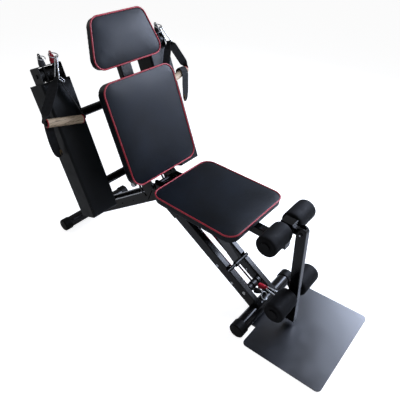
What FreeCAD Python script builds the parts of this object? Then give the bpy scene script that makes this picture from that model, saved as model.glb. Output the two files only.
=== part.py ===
"""Adjustable exercise bench with two resistance-cord towers, a leg developer and a foot plate.

+X is the right-hand side of somebody sitting on the bench, +Y points to the head end and
+Z is up. The origin lies on the floor, in the middle of the bench's footprint.
"""
import FreeCAD, Part
import math
import os

import Sketcher

Vec = FreeCAD.Vector

# name, value (mm or degrees), meaning
SIZES = [
    ("tubewall", 2.0, "wall of every steel tube"),
    ("plate", 4.0, "thickness of the hinge plates"),
    ("gap", 0.3, "clearance between neighbours that move"),
    ("running", 0.05, "radial clearance of a pin in its hole"),
    ("pinradius", 6.0, "radius of the three hinge bolts"),
    ("headradius", 10.0, "radius of a hinge bolt's head"),
    ("headheight", 5.0, "height of a hinge bolt's head"),
    ("stabradius", 30.0, "radius of the floor tubes"),
    ("capwall", 4.3, "wall of the rubber caps on the floor tubes"),
    ("caplength", 42.0, "length of a cap along its tube"),
    ("capend", 5.0, "thickness of a cap's closed end"),
    ("fronthalf", 208.0, "half length of the front floor tube"),
    ("rearhalf", 228.0, "half length of the rear floor tube"),
    ("fronty", -417.0, "place of the front floor tube"),
    ("reary", 774.0, "place of the rear floor tube"),
    ("railwidth", 28.0, "width of a front rail"),
    ("raildepth", 56.0, "depth of a front rail"),
    ("railcorner", 4.0, "corner radius of the rails and legs"),
    ("framehalf", 70.0, "outer face of the rails from the middle"),
    ("raillift", 15.0, "height of the rails' line over the front tube's axis"),
    ("railend", 70.0, "free space between a rail's end and the leg bolt"),
    ("apexy", 122.0, "leg bolt"),
    ("apexz", 432.0, "leg bolt"),
    ("legdepth", 52.0, "depth of a rear leg"),
    ("braceradius", 12.5, "radius of the braces between the rear legs"),
    ("bracefirst", 280.0, "first brace from the leg bolt"),
    ("bracepitch", 250.0, "distance between the braces"),
    ("backpivoty", 36.0, "back bolt behind the leg bolt"),
    ("backpivotz", 26.0, "back bolt above the leg bolt"),
    ("seatpivoty", -30.0, "seat bolt before the leg bolt"),
    ("seatpivotz", 27.0, "seat bolt above the leg bolt"),
    ("bossradius", 18.0, "rounding of the plates about the bolts"),
    ("plateoverlap", 60.0, "length of plate welded to a rail"),
    ("sectorradius", 104.0, "rim of the index sector"),
    ("indexradius", 88.0, "circle of the index pockets"),
    ("indexhole", 5.0, "radius of the pull pin's hole and half width of the index slot"),
    ("indexpocket", 6.5, "radius of the round pockets along the index slot"),
    ("indexstep", 12.5, "angle between index pockets"),
    ("indexcount", 5.0, "number of index pockets"),
    ("sectormargin", 13.0, "angle of sector past its end pockets"),
    ("backlean", 72.8, "angle of the backrest to the floor"),
    ("backdepth", 49.6, "back bolt behind the pad's front face"),
    ("backdrop", 54.2, "back bolt below the pad's lower edge"),
    ("spinefront", 62.0, "front of the back spine behind the pad's face"),
    ("spinewidth", 60.0, "width of the back spine"),
    ("spinedepth", 30.0, "depth of the back spine"),
    ("spinelow", 56.0, "lower end of the spine above the pad's lower edge"),
    ("spinehigh", 655.0, "upper end of the spine"),
    ("yokedepth", 30.0, "depth and height of the yoke bar"),
    ("armthick", 5.0, "thickness of the yoke arms"),
    ("crosslow", 39.0, "lower tower tube above the pad's lower edge"),
    ("crosshigh", 350.0, "upper tower tube"),
    ("crossdepth", 168.0, "tower tubes behind the pad's face"),
    ("crossradius", 18.0, "radius of the tower tubes"),
    ("crosshalf", 244.0, "half length of the tower tubes"),
    ("padwidth", 388.0, "width of the back pad"),
    ("padheight", 437.0, "height of the back pad"),
    ("padthick", 50.0, "thickness of the back pad behind its piping"),
    ("padcrown", 9.0, "swell of the pads in front of their piping"),
    ("padcorner", 48.0, "corner radius of the pads"),
    ("boardinset", 12.0, "edge of a board inside its pad's edge"),
    ("headlow", 489.0, "lower edge of the head pad"),
    ("headheight2", 192.0, "height of the head pad"),
    ("headfront", 14.0, "face of the head pad behind the back pad's face"),
    ("headwide", 374.0, "lower width of the head pad"),
    ("headnarrow", 266.0, "upper width of the head pad"),
    ("towerinner", 218.0, "inner side of a tower from the middle"),
    ("towerwidth", 131.0, "width of a tower"),
    ("towerfront", 146.6, "front of the towers behind the pad's face"),
    ("towerdepth", 100.0, "depth of a tower"),
    ("towerlow", -81.0, "lower end of the towers"),
    ("towerheight", 582.0, "height of a tower"),
    ("towerwall", 2.5, "wall of the tower covers"),
    ("toweredge", 10.0, "edge radius of the tower covers"),
    ("blockwidth", 104.0, "width of a tower's pulley block"),
    ("blockshift", 3.0, "pulley block outside the tower's middle"),
    ("blockplate", 3.0, "thickness of the block's cheeks"),
    ("pulleyup", 31.0, "pulley axle above the tower's top"),
    ("pulleyradius", 28.0, "flange radius of the tower pulleys"),
    ("grooveradius", 22.0, "groove radius of the tower pulleys"),
    ("frontflange", 18.0, "flange radius of the front pulley"),
    ("frontgroove", 12.5, "groove radius of the front pulley"),
    ("cordradius", 4.0, "radius of the elastic cords"),
    ("cordspread", 25.0, "tower cords from the middle of their block"),
    ("barradius", 12.0, "radius of the lower guide bars in the towers"),
    ("barup", 52.0, "guide bars above a tower's lower end"),
    ("anchordown", 71.0, "cord anchors below a tower's top"),
    ("axleradius", 5.0, "radius of the pulley axles"),
    ("frontpulleyu", -580.0, "front pulley along the rails from the leg bolt"),
    ("frontpulleyv", 9.2, "front pulley above the rails' line"),
    ("frontcordx", 17.0, "front cords from the middle"),
    ("anchoru", -84.0, "cord anchor along the rails from the leg bolt"),
    ("stopperradius", 13.0, "widest radius of a cord stopper"),
    ("stopperlength", 32.0, "length of a cord stopper"),
    ("eyeradius", 8.4, "rounding of a cord stopper's eye"),
    ("eyehole", 4.6, "hole radius of a cord stopper's eye"),
    ("eyeup", 6.0, "hole of an eye above its cord stopper's cone"),
    ("eyethick", 4.0, "thickness of a cord stopper's eye"),
    ("seatback", 36.2, "seat bolt behind the seat pad's rear edge"),
    ("seatdrop", 65.0, "seat bolt below the seat pad's piping"),
    ("seatpitch", 4.3, "forward slope of the seat"),
    ("seatwidth", 370.0, "width of the seat pad"),
    ("seatlength", 424.0, "length of the seat pad"),
    ("seatthick", 34.0, "thickness of the seat pad below its piping"),
    ("seatboard", 8.0, "thickness of the pad boards"),
    ("seattube", 38.0, "width and height of the seat tube"),
    ("seatreach", 556.0, "front end of the seat tube before the pad's rear edge"),
    ("slatwidth", 30.0, "width of the slats under the seat board"),
    ("strutback", -84.0, "strut bolt from the seat pad's rear edge"),
    ("strutdrop", 72.0, "strut bolt below the seat pad's piping"),
    ("rodu", -463.0, "hook rod along the rails from the leg bolt"),
    ("rodv", 21.5, "hook rod above the rails' line"),
    ("rodradius", 8.0, "radius of the hook rod"),
    ("rodhalf", 76.0, "half length of the hook rod"),
    ("notchmouth", 45.0, "rise and run of a notch's mouth over the hook rod"),
    ("bracketwidth", 40.0, "width of the roller bracket"),
    ("bracketheight", 54.0, "height of the roller bracket"),
    ("rollerback", 7.5, "upper foam rollers behind the seat tube's front end"),
    ("rollerz", 495.0, "height of the upper foam rollers"),
    ("lowerahead", 48.5, "lower foam rollers before the seat tube's front end"),
    ("lowerz", 181.0, "height of the lower foam rollers"),
    ("rollerradius", 44.0, "radius of a foam roller"),
    ("rollerinner", 30.0, "inner end of a roller from the middle"),
    ("rollerlength", 122.0, "length of a foam roller"),
    ("shaftradius", 9.0, "radius of the roller shafts"),
    ("washerradius", 20.0, "radius of the washers on the roller shafts"),
    ("armahead", 58.5, "middle of the leg arm before the seat tube's front end"),
    ("armdepth", 42.0, "depth of the leg arm"),
    ("armwidth", 30.0, "width of the leg arm"),
    ("armlow", 30.0, "lower end of the leg arm above the floor"),
    ("armboltahead", 56.5, "leg arm's bolt before the seat tube's front end"),
    ("armpivotz", 496.0, "height of the leg arm's bolt"),
    ("armtop", 31.0, "top of the leg arm above its bolt"),
    ("armboltradius", 5.0, "radius of the leg arm's bolt"),
    ("footwidth", 451.0, "width of the foot plate"),
    ("footfront", -808.3, "front edge of the foot plate"),
    ("footback", -457.0, "rear edge of the foot plate"),
    ("foottongue", 240.0, "width of the tongue under the front tube"),
    ("footcorner", 20.0, "corner radius of the foot plate"),
    ("gripradius", 17.0, "radius of a hand grip"),
    ("griplength", 160.0, "length of a hand grip"),
    ("gripbore", 13.0, "bore of a hand grip"),
    ("strapwidth", 24.0, "width of the handle webbing"),
    ("strapthick", 2.4, "thickness of the webbing"),
    ("wireradius", 3.0, "wire of the snap hooks"),
    ("ringradius", 17.5, "middle radius of a split ring"),
    ("ringwire", 2.2, "wire radius of a split ring"),
    ("hooklength", 68.0, "length of a snap hook between its arcs"),
    ("handledepth", 126.0, "handles behind the back pad's face"),
    ("gripoutx", 405.0, "outer end of a grip from the middle"),
    ("gripinx", 244.0, "inner end of a grip from the middle"),
    ("gripouts", 366.0, "outer end of a grip above the pad's lower edge"),
    ("gripins", 331.0, "inner end of a grip above the pad's lower edge"),
    ("cuffwidth", 38.0, "width of an ankle strap"),
    ("cufflength", 150.0, "hanging length of an ankle strap"),
    ("cuffin", 31.0, "ankle strap from the outer end of its grip"),
]

doc = FreeCAD.newDocument("bench")
sheet = doc.addObject("Spreadsheet::Sheet", "Sizes")
for row, (name, number, meaning) in enumerate(SIZES, start=1):
    sheet.set("A%d" % row, name)
    sheet.set("B%d" % row, str(number))
    sheet.set("C%d" % row, meaning)
    sheet.setAlias("B%d" % row, name)
doc.recompute()


def size(name):
    """Value of a cell of the sheet."""
    return float(getattr(sheet, name))


# ---------------------------------------------------------------- frames
def frame(y, z, turn):
    """Place at (y, z) whose local Y and Z are turned about X by an angle in degrees."""
    return FreeCAD.Placement(Vec(0, y, z), FreeCAD.Rotation(Vec(1, 0, 0), turn))


def point_in(place, x, y, z):
    """Global point of local coordinates."""
    return place.multVec(Vec(x, y, z))


APEX = (size("apexy"), size("apexz"))
BACK = (APEX[0] + size("backpivoty"), APEX[1] + size("backpivotz"))
SEAT = (APEX[0] + size("seatpivoty"), APEX[1] + size("seatpivotz"))
STAB_Z = size("stabradius") + size("capwall")

reach_y = APEX[0] - size("fronty")
reach_z = APEX[1] - STAB_Z
rail_slope = math.degrees(math.atan2(reach_z, reach_y)
                          - math.asin(size("raillift") / math.hypot(reach_y, reach_z)))
leg_slope = math.degrees(math.atan2(APEX[1] - STAB_Z, size("reary") - APEX[0]))
leg_length = math.hypot(APEX[1] - STAB_Z, size("reary") - APEX[0])

LEVEL = frame(0, 0, 0)
# local Z runs up the rails and local -Y is their upper side
RAIL = frame(APEX[0], APEX[1], rail_slope - 90)
# local Z runs down the rear legs and local -Y is their upper side
LEG = frame(APEX[0], APEX[1], -leg_slope - 90)


def hung_frame(pivot, turn, local_y, local_z):
    """Frame turned about X in which the pivot has the given local coordinates."""
    place = frame(0, 0, turn)
    shift = place.multVec(Vec(0, local_y, local_z))
    return frame(pivot[0] - shift.y, pivot[1] - shift.z, turn)


# local Y is the depth behind the back pad's face and local Z the height up the pad
BACKREST = hung_frame(BACK, size("backlean") - 90, size("backdepth"), -size("backdrop"))
# local Y runs back from the seat pad's rear edge and local Z is the height over its piping
BENCH = hung_frame(SEAT, size("seatpitch"), size("seatback"), -size("seatdrop"))

tube_end = BENCH.multVec(Vec(0, -size("seatreach"), -size("seatdrop"))).y
roller_at = (tube_end + size("rollerback"), size("rollerz"))
lower_at = (tube_end - size("lowerahead"), size("lowerz"))
arm_bolt_at = (tube_end - size("armboltahead"), size("armpivotz"))


def rail_point(u, v):
    """Local sketch point of a rail: u along it, v above its line."""
    return (-v, u)


# ---------------------------------------------------------------- outlines
def belt(circles):
    """Edges of the tight band around circles (x, y, radius) given counter-clockwise."""
    normals = []
    count = len(circles)
    for i in range(count):
        x0, y0, r0 = circles[i]
        x1, y1, r1 = circles[(i + 1) % count]
        span = math.hypot(x1 - x0, y1 - y0)
        along = math.atan2(y1 - y0, x1 - x0)
        normals.append(along - math.acos((r0 - r1) / span))
    edges = []
    for i in range(count):
        x, y, r = circles[i]
        start, end = normals[i - 1], normals[i]
        while end < start:
            end += 2 * math.pi
        if r > 0 and end - start > 1e-6:
            circle = Part.Circle(Vec(x, y, 0), Vec(0, 0, 1), r)
            edges.append(Part.ArcOfCircle(circle, start, end))
        x1, y1, r1 = circles[(i + 1) % count]
        a = Vec(x + r * math.cos(end), y + r * math.sin(end), 0)
        b = Vec(x1 + r1 * math.cos(end), y1 + r1 * math.sin(end), 0)
        edges.append(Part.LineSegment(a, b))
    return edges


def polygon(points):
    """Closed straight outline."""
    corners = [Vec(x, y, 0) for x, y in points]
    return [Part.LineSegment(a, b) for a, b in zip(corners, corners[1:] + corners[:1])]


def disc(x, y, radius):
    """One circle."""
    return [Part.Circle(Vec(x, y, 0), Vec(0, 0, 1), radius)]


def pie(x, y, radius, low, high):
    """Slice of a disc between two angles in degrees."""
    start, end = math.radians(low), math.radians(high)
    centre = Vec(x, y, 0)
    a = Vec(x + radius * math.cos(start), y + radius * math.sin(start), 0)
    b = Vec(x + radius * math.cos(end), y + radius * math.sin(end), 0)
    arc = Part.ArcOfCircle(Part.Circle(centre, Vec(0, 0, 1), radius), start, end)
    return [Part.LineSegment(centre, a), arc, Part.LineSegment(b, centre)]


def arc_slot(x, y, radius, half, low, high):
    """Slot of constant width along an arc between two angles in degrees."""
    start, end = math.radians(low), math.radians(high)
    normal = Vec(0, 0, 1)

    def on_arc(angle, reach):
        return Vec(x + reach * math.cos(angle), y + reach * math.sin(angle), 0)

    far = Part.ArcOfCircle(Part.Circle(Vec(x, y, 0), normal, radius + half), start, end)
    near = Part.ArcOfCircle(Part.Circle(Vec(x, y, 0), normal, radius - half), start, end)
    high_cap = Part.ArcOfCircle(Part.Circle(on_arc(end, radius), normal, half), end, end + math.pi)
    low_cap = Part.ArcOfCircle(Part.Circle(on_arc(start, radius), normal, half),
                               start - math.pi, start)
    return [far, high_cap, near, low_cap]


# ---------------------------------------------------------------- features
NODES = {}


def node(label, shape_object, place=None):
    """Names a finished sub-part and gives it its place."""
    shape_object.Label = label
    if place is not None:
        shape_object.Placement = place
    NODES[label] = shape_object
    return shape_object


def new_body(name):
    return doc.addObject("PartDesign::Body", name + "_body")


def sketch_on(body, role, edges, offset="0"):
    """Sketch on an origin plane of its own body, moved along the plane's normal."""
    sketch = body.newObject("Sketcher::SketchObject", "Sketch")
    plane = [item for item in body.Origin.OriginFeatures if item.Role == role][0]
    sketch.AttachmentSupport = [(plane, "")]
    sketch.MapMode = "FlatFace"
    sketch.setExpression("AttachmentOffset.Base.z", offset)
    for edge in edges:
        sketch.addGeometry(edge, False)
    return sketch


def box_sketch(body, role, width, height, at=("0", "0"), offset="0"):
    """Rectangle centred on its own origin, with its sizes and place bound to the sheet."""
    sketch = sketch_on(body, role, [], offset)
    for a, b in (((-1, -1), (1, -1)), ((1, -1), (1, 1)), ((1, 1), (-1, 1)), ((-1, 1), (-1, -1))):
        sketch.addGeometry(Part.LineSegment(Vec(a[0], a[1], 0), Vec(b[0], b[1], 0)), False)
    for i in range(4):
        sketch.addConstraint(Sketcher.Constraint("Coincident", i, 2, (i + 1) % 4, 1))
    sketch.addConstraint(Sketcher.Constraint("Horizontal", 0))
    sketch.addConstraint(Sketcher.Constraint("Horizontal", 2))
    sketch.addConstraint(Sketcher.Constraint("Vertical", 1))
    sketch.addConstraint(Sketcher.Constraint("Vertical", 3))
    sketch.addConstraint(Sketcher.Constraint("Symmetric", 0, 1, 1, 2, -1, 1))
    wide = sketch.addConstraint(Sketcher.Constraint("DistanceX", 0, 1, 0, 2, 2.0))
    high = sketch.addConstraint(Sketcher.Constraint("DistanceY", 1, 1, 1, 2, 2.0))
    sketch.setExpression("Constraints[%d]" % wide, width)
    sketch.setExpression("Constraints[%d]" % high, height)
    sketch.setExpression("AttachmentOffset.Base.x", at[0])
    sketch.setExpression("AttachmentOffset.Base.y", at[1])
    return sketch


def disc_sketch(body, role, radius, at=("0", "0"), offset="0"):
    """Circle with its radius and place bound to the sheet."""
    sketch = sketch_on(body, role, disc(0, 0, 1.0), offset)
    sketch.addConstraint(Sketcher.Constraint("Coincident", 0, 3, -1, 1))
    index = sketch.addConstraint(Sketcher.Constraint("Radius", 0, 1.0))
    sketch.setExpression("Constraints[%d]" % index, radius)
    sketch.setExpression("AttachmentOffset.Base.x", at[0])
    sketch.setExpression("AttachmentOffset.Base.y", at[1])
    return sketch


def pad(body, sketch, length, both_ways=False, backwards=False):
    feature = body.newObject("PartDesign::Pad", "Pad")
    feature.Profile = sketch
    feature.SideType = "Symmetric" if both_ways else "One side"
    feature.Reversed = backwards
    feature.setExpression("Length", length)
    return feature


def pocket(body, sketch, length="", both_ways=True, backwards=False):
    """Cut of a given length, or right through the body when no length is given."""
    feature = body.newObject("PartDesign::Pocket", "Pocket")
    feature.Profile = sketch
    feature.SideType = "Symmetric" if both_ways else "One side"
    feature.Reversed = backwards
    if length:
        feature.setExpression("Length", length)
    else:
        feature.Type = "ThroughAll"
    return feature


def fillet(body, radius, chosen):
    """Rounds the edges of the body's tip that the test picks."""
    doc.recompute()
    tip = body.Tip
    names = ["Edge%d" % i for i, edge in enumerate(tip.Shape.Edges, 1) if chosen(edge)]
    feature = body.newObject("PartDesign::Fillet", "Fillet")
    feature.Base = (tip, names)
    feature.setExpression("Radius", radius)
    return feature


def along(axis):
    """Test for straight edges along a local axis."""
    def test(edge):
        if not isinstance(edge.Curve, (Part.Line, Part.LineSegment)):
            return False
        return abs(abs(edge.tangentAt(edge.FirstParameter).dot(axis)) - 1) < 1e-6
    return test


def top_rim(height):
    """Test for edges that lie at one local height."""
    def test(edge):
        box = edge.BoundBox
        return abs(box.ZMin - height) < 1e-4 and abs(box.ZMax - height) < 1e-4
    return test


AXIS_X = Vec(1, 0, 0)
AXIS_Y = Vec(0, 1, 0)
AXIS_Z = Vec(0, 0, 1)


def tube(label, width, depth, length, place, shift=("0", "0"), start="0"):
    """Rectangular tube along local Z, with rounded corners and open ends."""
    body = new_body(label)
    pad(body, box_sketch(body, "XY_Plane", width, depth, shift, start), length)
    fillet(body, "Sizes.railcorner", along(AXIS_Z))
    inner = box_sketch(body, "XY_Plane", width + " - 2 * Sizes.tubewall",
                       depth + " - 2 * Sizes.tubewall", shift, start)
    pocket(body, inner)
    return node(label, body, place)


def cylinder(radius, height, x, y, z, axis=AXIS_X):
    """Part cylinder whose axis starts at a point."""
    feature = doc.addObject("Part::Cylinder", "Cylinder")
    feature.setExpression("Radius", radius)
    feature.setExpression("Height", height)
    feature.Placement = FreeCAD.Placement(Vec(x, y, z), FreeCAD.Rotation(AXIS_Z, axis))
    return feature


def cut(base, tool):
    feature = doc.addObject("Part::Cut", "Cut")
    feature.Base = base
    feature.Tool = tool
    return feature


def group(label, shapes, place=None):
    """Separate solids of one node."""
    feature = doc.addObject("Part::Feature", label)
    feature.Shape = Part.makeCompound(shapes)
    return node(label, feature, place)


def rod(radius, length, start, axis):
    """Plain solid cylinder."""
    return Part.makeCylinder(radius, length, start, axis)


def lathe(profile, centre, axis):
    """Solid turned from (height, radius) points about an axis."""
    points = [Vec(radius, 0, height) for height, radius in profile]
    wire = Part.makePolygon(points + points[:1])
    solid = Part.Face(wire).revolve(Vec(0, 0, 0), AXIS_Z, 360)
    solid.Placement = FreeCAD.Placement(centre, FreeCAD.Rotation(AXIS_Z, axis))
    return solid


def cord(points, radius, bend):
    """Round cord through points, with equal tangent arcs at its corners."""
    edges = []
    start = points[0]
    for before, corner, after in zip(points, points[1:], points[2:]):
        back = (before - corner).normalize()
        ahead = (after - corner).normalize()
        half = back.getAngle(ahead) / 2
        reach = bend / math.tan(half)
        middle = corner + (back + ahead).normalize() * (bend / math.sin(half) - bend)
        if (corner + back * reach - start).Length > 1e-6:
            edges.append(Part.LineSegment(start, corner + back * reach).toShape())
        edges.append(Part.Arc(corner + back * reach, middle, corner + ahead * reach).toShape())
        start = corner + ahead * reach
    edges.append(Part.LineSegment(start, points[-1]).toShape())
    path = Part.Wire(edges)
    heading = (points[1] - points[0]).normalize()
    section = Part.Wire(Part.makeCircle(radius, points[0], heading))
    return path.makePipeShell([section], True, False)


def mirrored(shape):
    """The same shape on the other side of the bench."""
    return shape.mirror(Vec(0, 0, 0), AXIS_X)


SIDES = (("left", -1), ("right", 1))

# ---------------------------------------------------------------- floor tubes
def floor_tube(label, alias, y, drill):
    """Round tube across the bench with plain screw holes in its underside."""
    half = size(alias)
    outer = cylinder("Sizes.stabradius", "2 * Sizes." + alias, -half, y, STAB_Z)
    inner = cylinder("Sizes.stabradius - Sizes.tubewall", "2 * Sizes." + alias, -half, y, STAB_Z)
    result = cut(outer, inner)
    for x in drill:
        result = cut(result, cylinder("3 + Sizes.running", "12", x, y, 0, AXIS_Z))
    node(label, result)


def floor_caps(label, half, y):
    """Two rubber sleeves with a closed, slightly rounded end."""
    bore = size("stabradius") + size("running")
    rim = size("stabradius") + size("capwall")
    end = size("capend")
    depth = size("caplength")
    profile = [(0, bore), (0, rim), (depth - 4, rim), (depth, rim - 4), (depth, 0),
               (depth - end, 0), (depth - end, bore)]
    shapes = []
    for side in (-1, 1):
        start = side * (half - depth + end)
        shapes.append(lathe(profile, Vec(start, y, STAB_Z), Vec(side, 0, 0)))
    group(label, shapes)


FRONT_Y = size("fronty")
SCREWS_X = (-95.0, 95.0)
floor_tube("front_stabiliser", "fronthalf", FRONT_Y, SCREWS_X)
floor_tube("rear_stabiliser", "rearhalf", size("reary"), ())
floor_caps("front_stabiliser_caps", size("fronthalf"), FRONT_Y)
floor_caps("rear_stabiliser_caps", size("rearhalf"), size("reary"))

# ---------------------------------------------------------------- foot plate
foot = new_body("foot_plate")
foot_half = size("footwidth") / 2
foot_front = size("footfront")
foot_back = size("footback")
tongue_half = size("foottongue") / 2
tongue_back = FRONT_Y + 16
foot_outline = polygon([(-foot_half, foot_front), (foot_half, foot_front), (foot_half, foot_back),
                        (tongue_half, foot_back), (tongue_half, tongue_back),
                        (-tongue_half, tongue_back), (-tongue_half, foot_back),
                        (-foot_half, foot_back)])
pad(foot, sketch_on(foot, "XY_Plane", foot_outline), "Sizes.capwall")
fillet(foot, "Sizes.footcorner",
       lambda edge: along(AXIS_Z)(edge) and abs(edge.Vertexes[0].X) > tongue_half + 1)
for screw_x in SCREWS_X:
    spot = (str(screw_x), "Sizes.fronty")
    pocket(foot, disc_sketch(foot, "XY_Plane", "3 + Sizes.running", spot))
    pocket(foot, disc_sketch(foot, "XY_Plane", "6 + Sizes.running", spot), "2 * 2.3")
node("foot_plate", foot)

screws = []
for screw_x in SCREWS_X:
    screws.append(lathe([(0.3, 0), (0.3, 6), (2.3, 6), (2.3, 3), (11, 3), (11, 0)],
                        Vec(screw_x, FRONT_Y, 0), AXIS_Z))
group("foot_plate_screws", screws)

# ---------------------------------------------------------------- front rails
rail_reach = math.sqrt(reach_y ** 2 + reach_z ** 2 - size("raillift") ** 2)
half_rail = size("raildepth") / 2
rod_u, rod_v, mouth = size("rodu"), size("rodv"), size("notchmouth")
notch = [rail_point(rod_u, rod_v), rail_point(rod_u + mouth, rod_v + mouth),
         rail_point(rod_u, rod_v + mouth)]
notch_edges = belt([(y, z, size("rodradius") + size("gap")) for y, z in notch])


def through_x(body, edges):
    """Cuts an outline right across a body."""
    pocket(body, sketch_on(body, "YZ_Plane", edges))


for name, side in SIDES:
    label = "front_rail_" + name
    rail = new_body(label)
    middle = ("%d * (Sizes.framehalf - Sizes.railwidth / 2)" % side, "0")
    start = str(-rail_reach)
    pad(rail, box_sketch(rail, "XY_Plane", "Sizes.railwidth", "Sizes.raildepth", middle, start),
        "%r - Sizes.railend" % rail_reach)
    fillet(rail, "Sizes.railcorner", along(AXIS_Z))
    pocket(rail, box_sketch(rail, "XY_Plane", "Sizes.railwidth - 2 * Sizes.tubewall",
                            "Sizes.raildepth - 2 * Sizes.tubewall", middle, start))
    through_x(rail, disc(size("raillift"), -rail_reach, size("stabradius") + size("running")))
    through_x(rail, notch_edges)
    through_x(rail, disc(*rail_point(size("frontpulleyu"), size("frontpulleyv")),
                         size("axleradius") + size("running")))
    node(label, rail, RAIL)

# ---------------------------------------------------------------- hinge plates
foot_low = RAIL.multVec(Vec(0, half_rail, -size("railend") - size("plateoverlap")))
foot_high = RAIL.multVec(Vec(0, -half_rail, -size("railend") - size("plateoverlap")))
boss = size("bossradius")
back_at = (size("backpivoty"), size("backpivotz"))
seat_at = (size("seatpivoty"), size("seatpivotz"))
plate_hull = [(foot_low.y - APEX[0], foot_low.z - APEX[1], 0.0), (0.0, 0.0, 30.0),
              (back_at[0], back_at[1], boss + 2), (seat_at[0], seat_at[1], boss),
              (foot_high.y - APEX[0], foot_high.z - APEX[1], 0.0)]
HOLE = "Sizes.pinradius + Sizes.running"
BOLTS = {"leg": ("0", "0"), "back": ("Sizes.backpivoty", "Sizes.backpivotz"),
         "seat": ("Sizes.seatpivoty", "Sizes.seatpivotz")}
last_index = (size("indexcount") - 1) * size("indexstep")
for name, side in SIDES:
    parts = []
    for kind, inner in (("outer", size("framehalf")), ("inner", 38.0)):
        sheet_metal = new_body("apex_%s_%s" % (kind, name))
        start = inner if side > 0 else -inner - size("plate")
        pad(sheet_metal, sketch_on(sheet_metal, "YZ_Plane", belt(plate_hull), str(start)),
            "Sizes.plate")
        if kind == "outer":
            slice_edges = pie(back_at[0], back_at[1], size("sectorradius"),
                              -last_index - size("sectormargin"), size("sectormargin"))
            pad(sheet_metal, sketch_on(sheet_metal, "YZ_Plane", slice_edges, str(start)),
                "Sizes.plate")
            for step in range(int(size("indexcount"))):
                turn = "(%d * Sizes.indexstep)" % step
                spot = ("Sizes.backpivoty + Sizes.indexradius * cos(%s)" % turn,
                        "Sizes.backpivotz - Sizes.indexradius * sin(%s)" % turn)
                pocket(sheet_metal, disc_sketch(sheet_metal, "YZ_Plane", "Sizes.indexpocket", spot))
            slot_edges = arc_slot(back_at[0], back_at[1], size("indexradius"), size("indexhole"),
                                  -last_index, 0)
            pocket(sheet_metal, sketch_on(sheet_metal, "YZ_Plane", slot_edges))
        for spot in BOLTS.values():
            pocket(sheet_metal, disc_sketch(sheet_metal, "YZ_Plane", HOLE, spot))
        parts.append(sheet_metal)
    pair = doc.addObject("Part::Compound", "apex_pair")
    pair.Links = parts
    node("apex_plates_" + name, pair, frame(APEX[0], APEX[1], 0))

# ---------------------------------------------------------------- bolts and axles of the frame
def bolt(radius, half, head, height, y, z):
    """Bolt along X with a round head at each end, centred on the bench."""
    flat = half + height
    profile = [(-flat, 0), (-flat, head - 1), (-flat + 1, head), (-half, head), (-half, radius),
               (half, radius), (half, head), (flat - 1, head), (flat, head - 1), (flat, 0)]
    return lathe(profile, Vec(0, y, z), AXIS_X)


outer_face = size("framehalf") + size("plate")
yoke_face = outer_face + size("gap") + size("armthick") + size("gap")
pin = size("pinradius")
pin_head = size("headradius")
pin_cap = size("headheight")
front_bolts = [
    bolt(pin, outer_face, pin_head, pin_cap, APEX[0], APEX[1]),
    bolt(pin, yoke_face, pin_head, pin_cap, BACK[0], BACK[1]),
    bolt(pin, outer_face, pin_head, pin_cap, SEAT[0], SEAT[1]),
]
spacer = rod(pin_head, 76.0, Vec(-38, BACK[0], BACK[1]), AXIS_X)
front_bolts.append(spacer.cut(rod(pin + size("running"), 76.0, Vec(-38, BACK[0], BACK[1]), AXIS_X)))
group("pivot_bolts", front_bolts)

cord_radius = size("cordradius")
wrap = size("grooveradius") + cord_radius + size("gap")
front_wrap = size("frontgroove") + cord_radius + size("gap")
cord_v = size("frontpulleyv") - front_wrap
cord_hole = cord_radius + size("running")
anchor = rod(9.0, 76.0, Vec(-38, -cord_v, size("anchoru")), AXIS_X)
for side in (-1, 1):
    spot = Vec(side * size("frontcordx"), -cord_v, size("anchoru") - 12)
    anchor = anchor.cut(rod(cord_hole, 24.0, spot, AXIS_Z))
axle_half = size("framehalf")
axle = bolt(size("axleradius"), axle_half, size("axleradius") + 3, 4.0,
            -size("frontpulleyv"), size("frontpulleyu"))
group("front_axle", [anchor, axle], RAIL)


def pulley(half, spread, centre, rim, deep):
    """Plastic pulley along X with two cord grooves."""
    bore = size("axleradius") + size("running")
    wide = cord_radius + 0.5
    profile = [(-half, bore), (-half, rim)]
    for middle in (-spread, spread):
        profile += [(middle - wide - 1.5, rim), (middle - wide, deep), (middle + wide, deep),
                    (middle + wide + 1.5, rim)]
    profile += [(half, rim), (half, bore)]
    return lathe(profile, centre, AXIS_X)


pulley_centre = Vec(0, -size("frontpulleyv"), size("frontpulleyu"))
group("front_pulley", [pulley(38.0, size("frontcordx"), pulley_centre, size("frontflange"),
                              size("frontgroove"))], RAIL)

# ---------------------------------------------------------------- front cords
EXIT_TURN = 163.0
exit_angle = math.radians(EXIT_TURN - rail_slope)
exit_way = Vec(0, -math.sin(exit_angle), math.cos(exit_angle))
side_way = Vec(0, -math.cos(exit_angle), -math.sin(exit_angle))
exit_point = pulley_centre + side_way * front_wrap
turned_by = math.radians(180 + rail_slope - EXIT_TURN)
corner_u = size("frontpulleyu") - front_wrap * math.tan(turned_by / 2)


def stopper(base, way):
    """Cone with an eye on top and a blind bore for the cord."""
    wide = size("stopperradius")
    tall = size("stopperlength")
    profile = [(0, cord_hole), (0, wide), (tall * 0.35, wide), (tall, wide * 0.6), (tall, 0),
               (tall - 5, 0), (tall - 5, cord_hole)]
    cone = lathe(profile, base, way)
    side_start = base + way * (tall + size("eyeup")) - AXIS_X * (size("eyethick") / 2)
    tab = rod(size("eyeradius"), size("eyethick"), side_start, AXIS_X)
    return cone.fuse(tab).cut(rod(size("eyehole"), size("eyethick"), side_start, AXIS_X))


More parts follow.
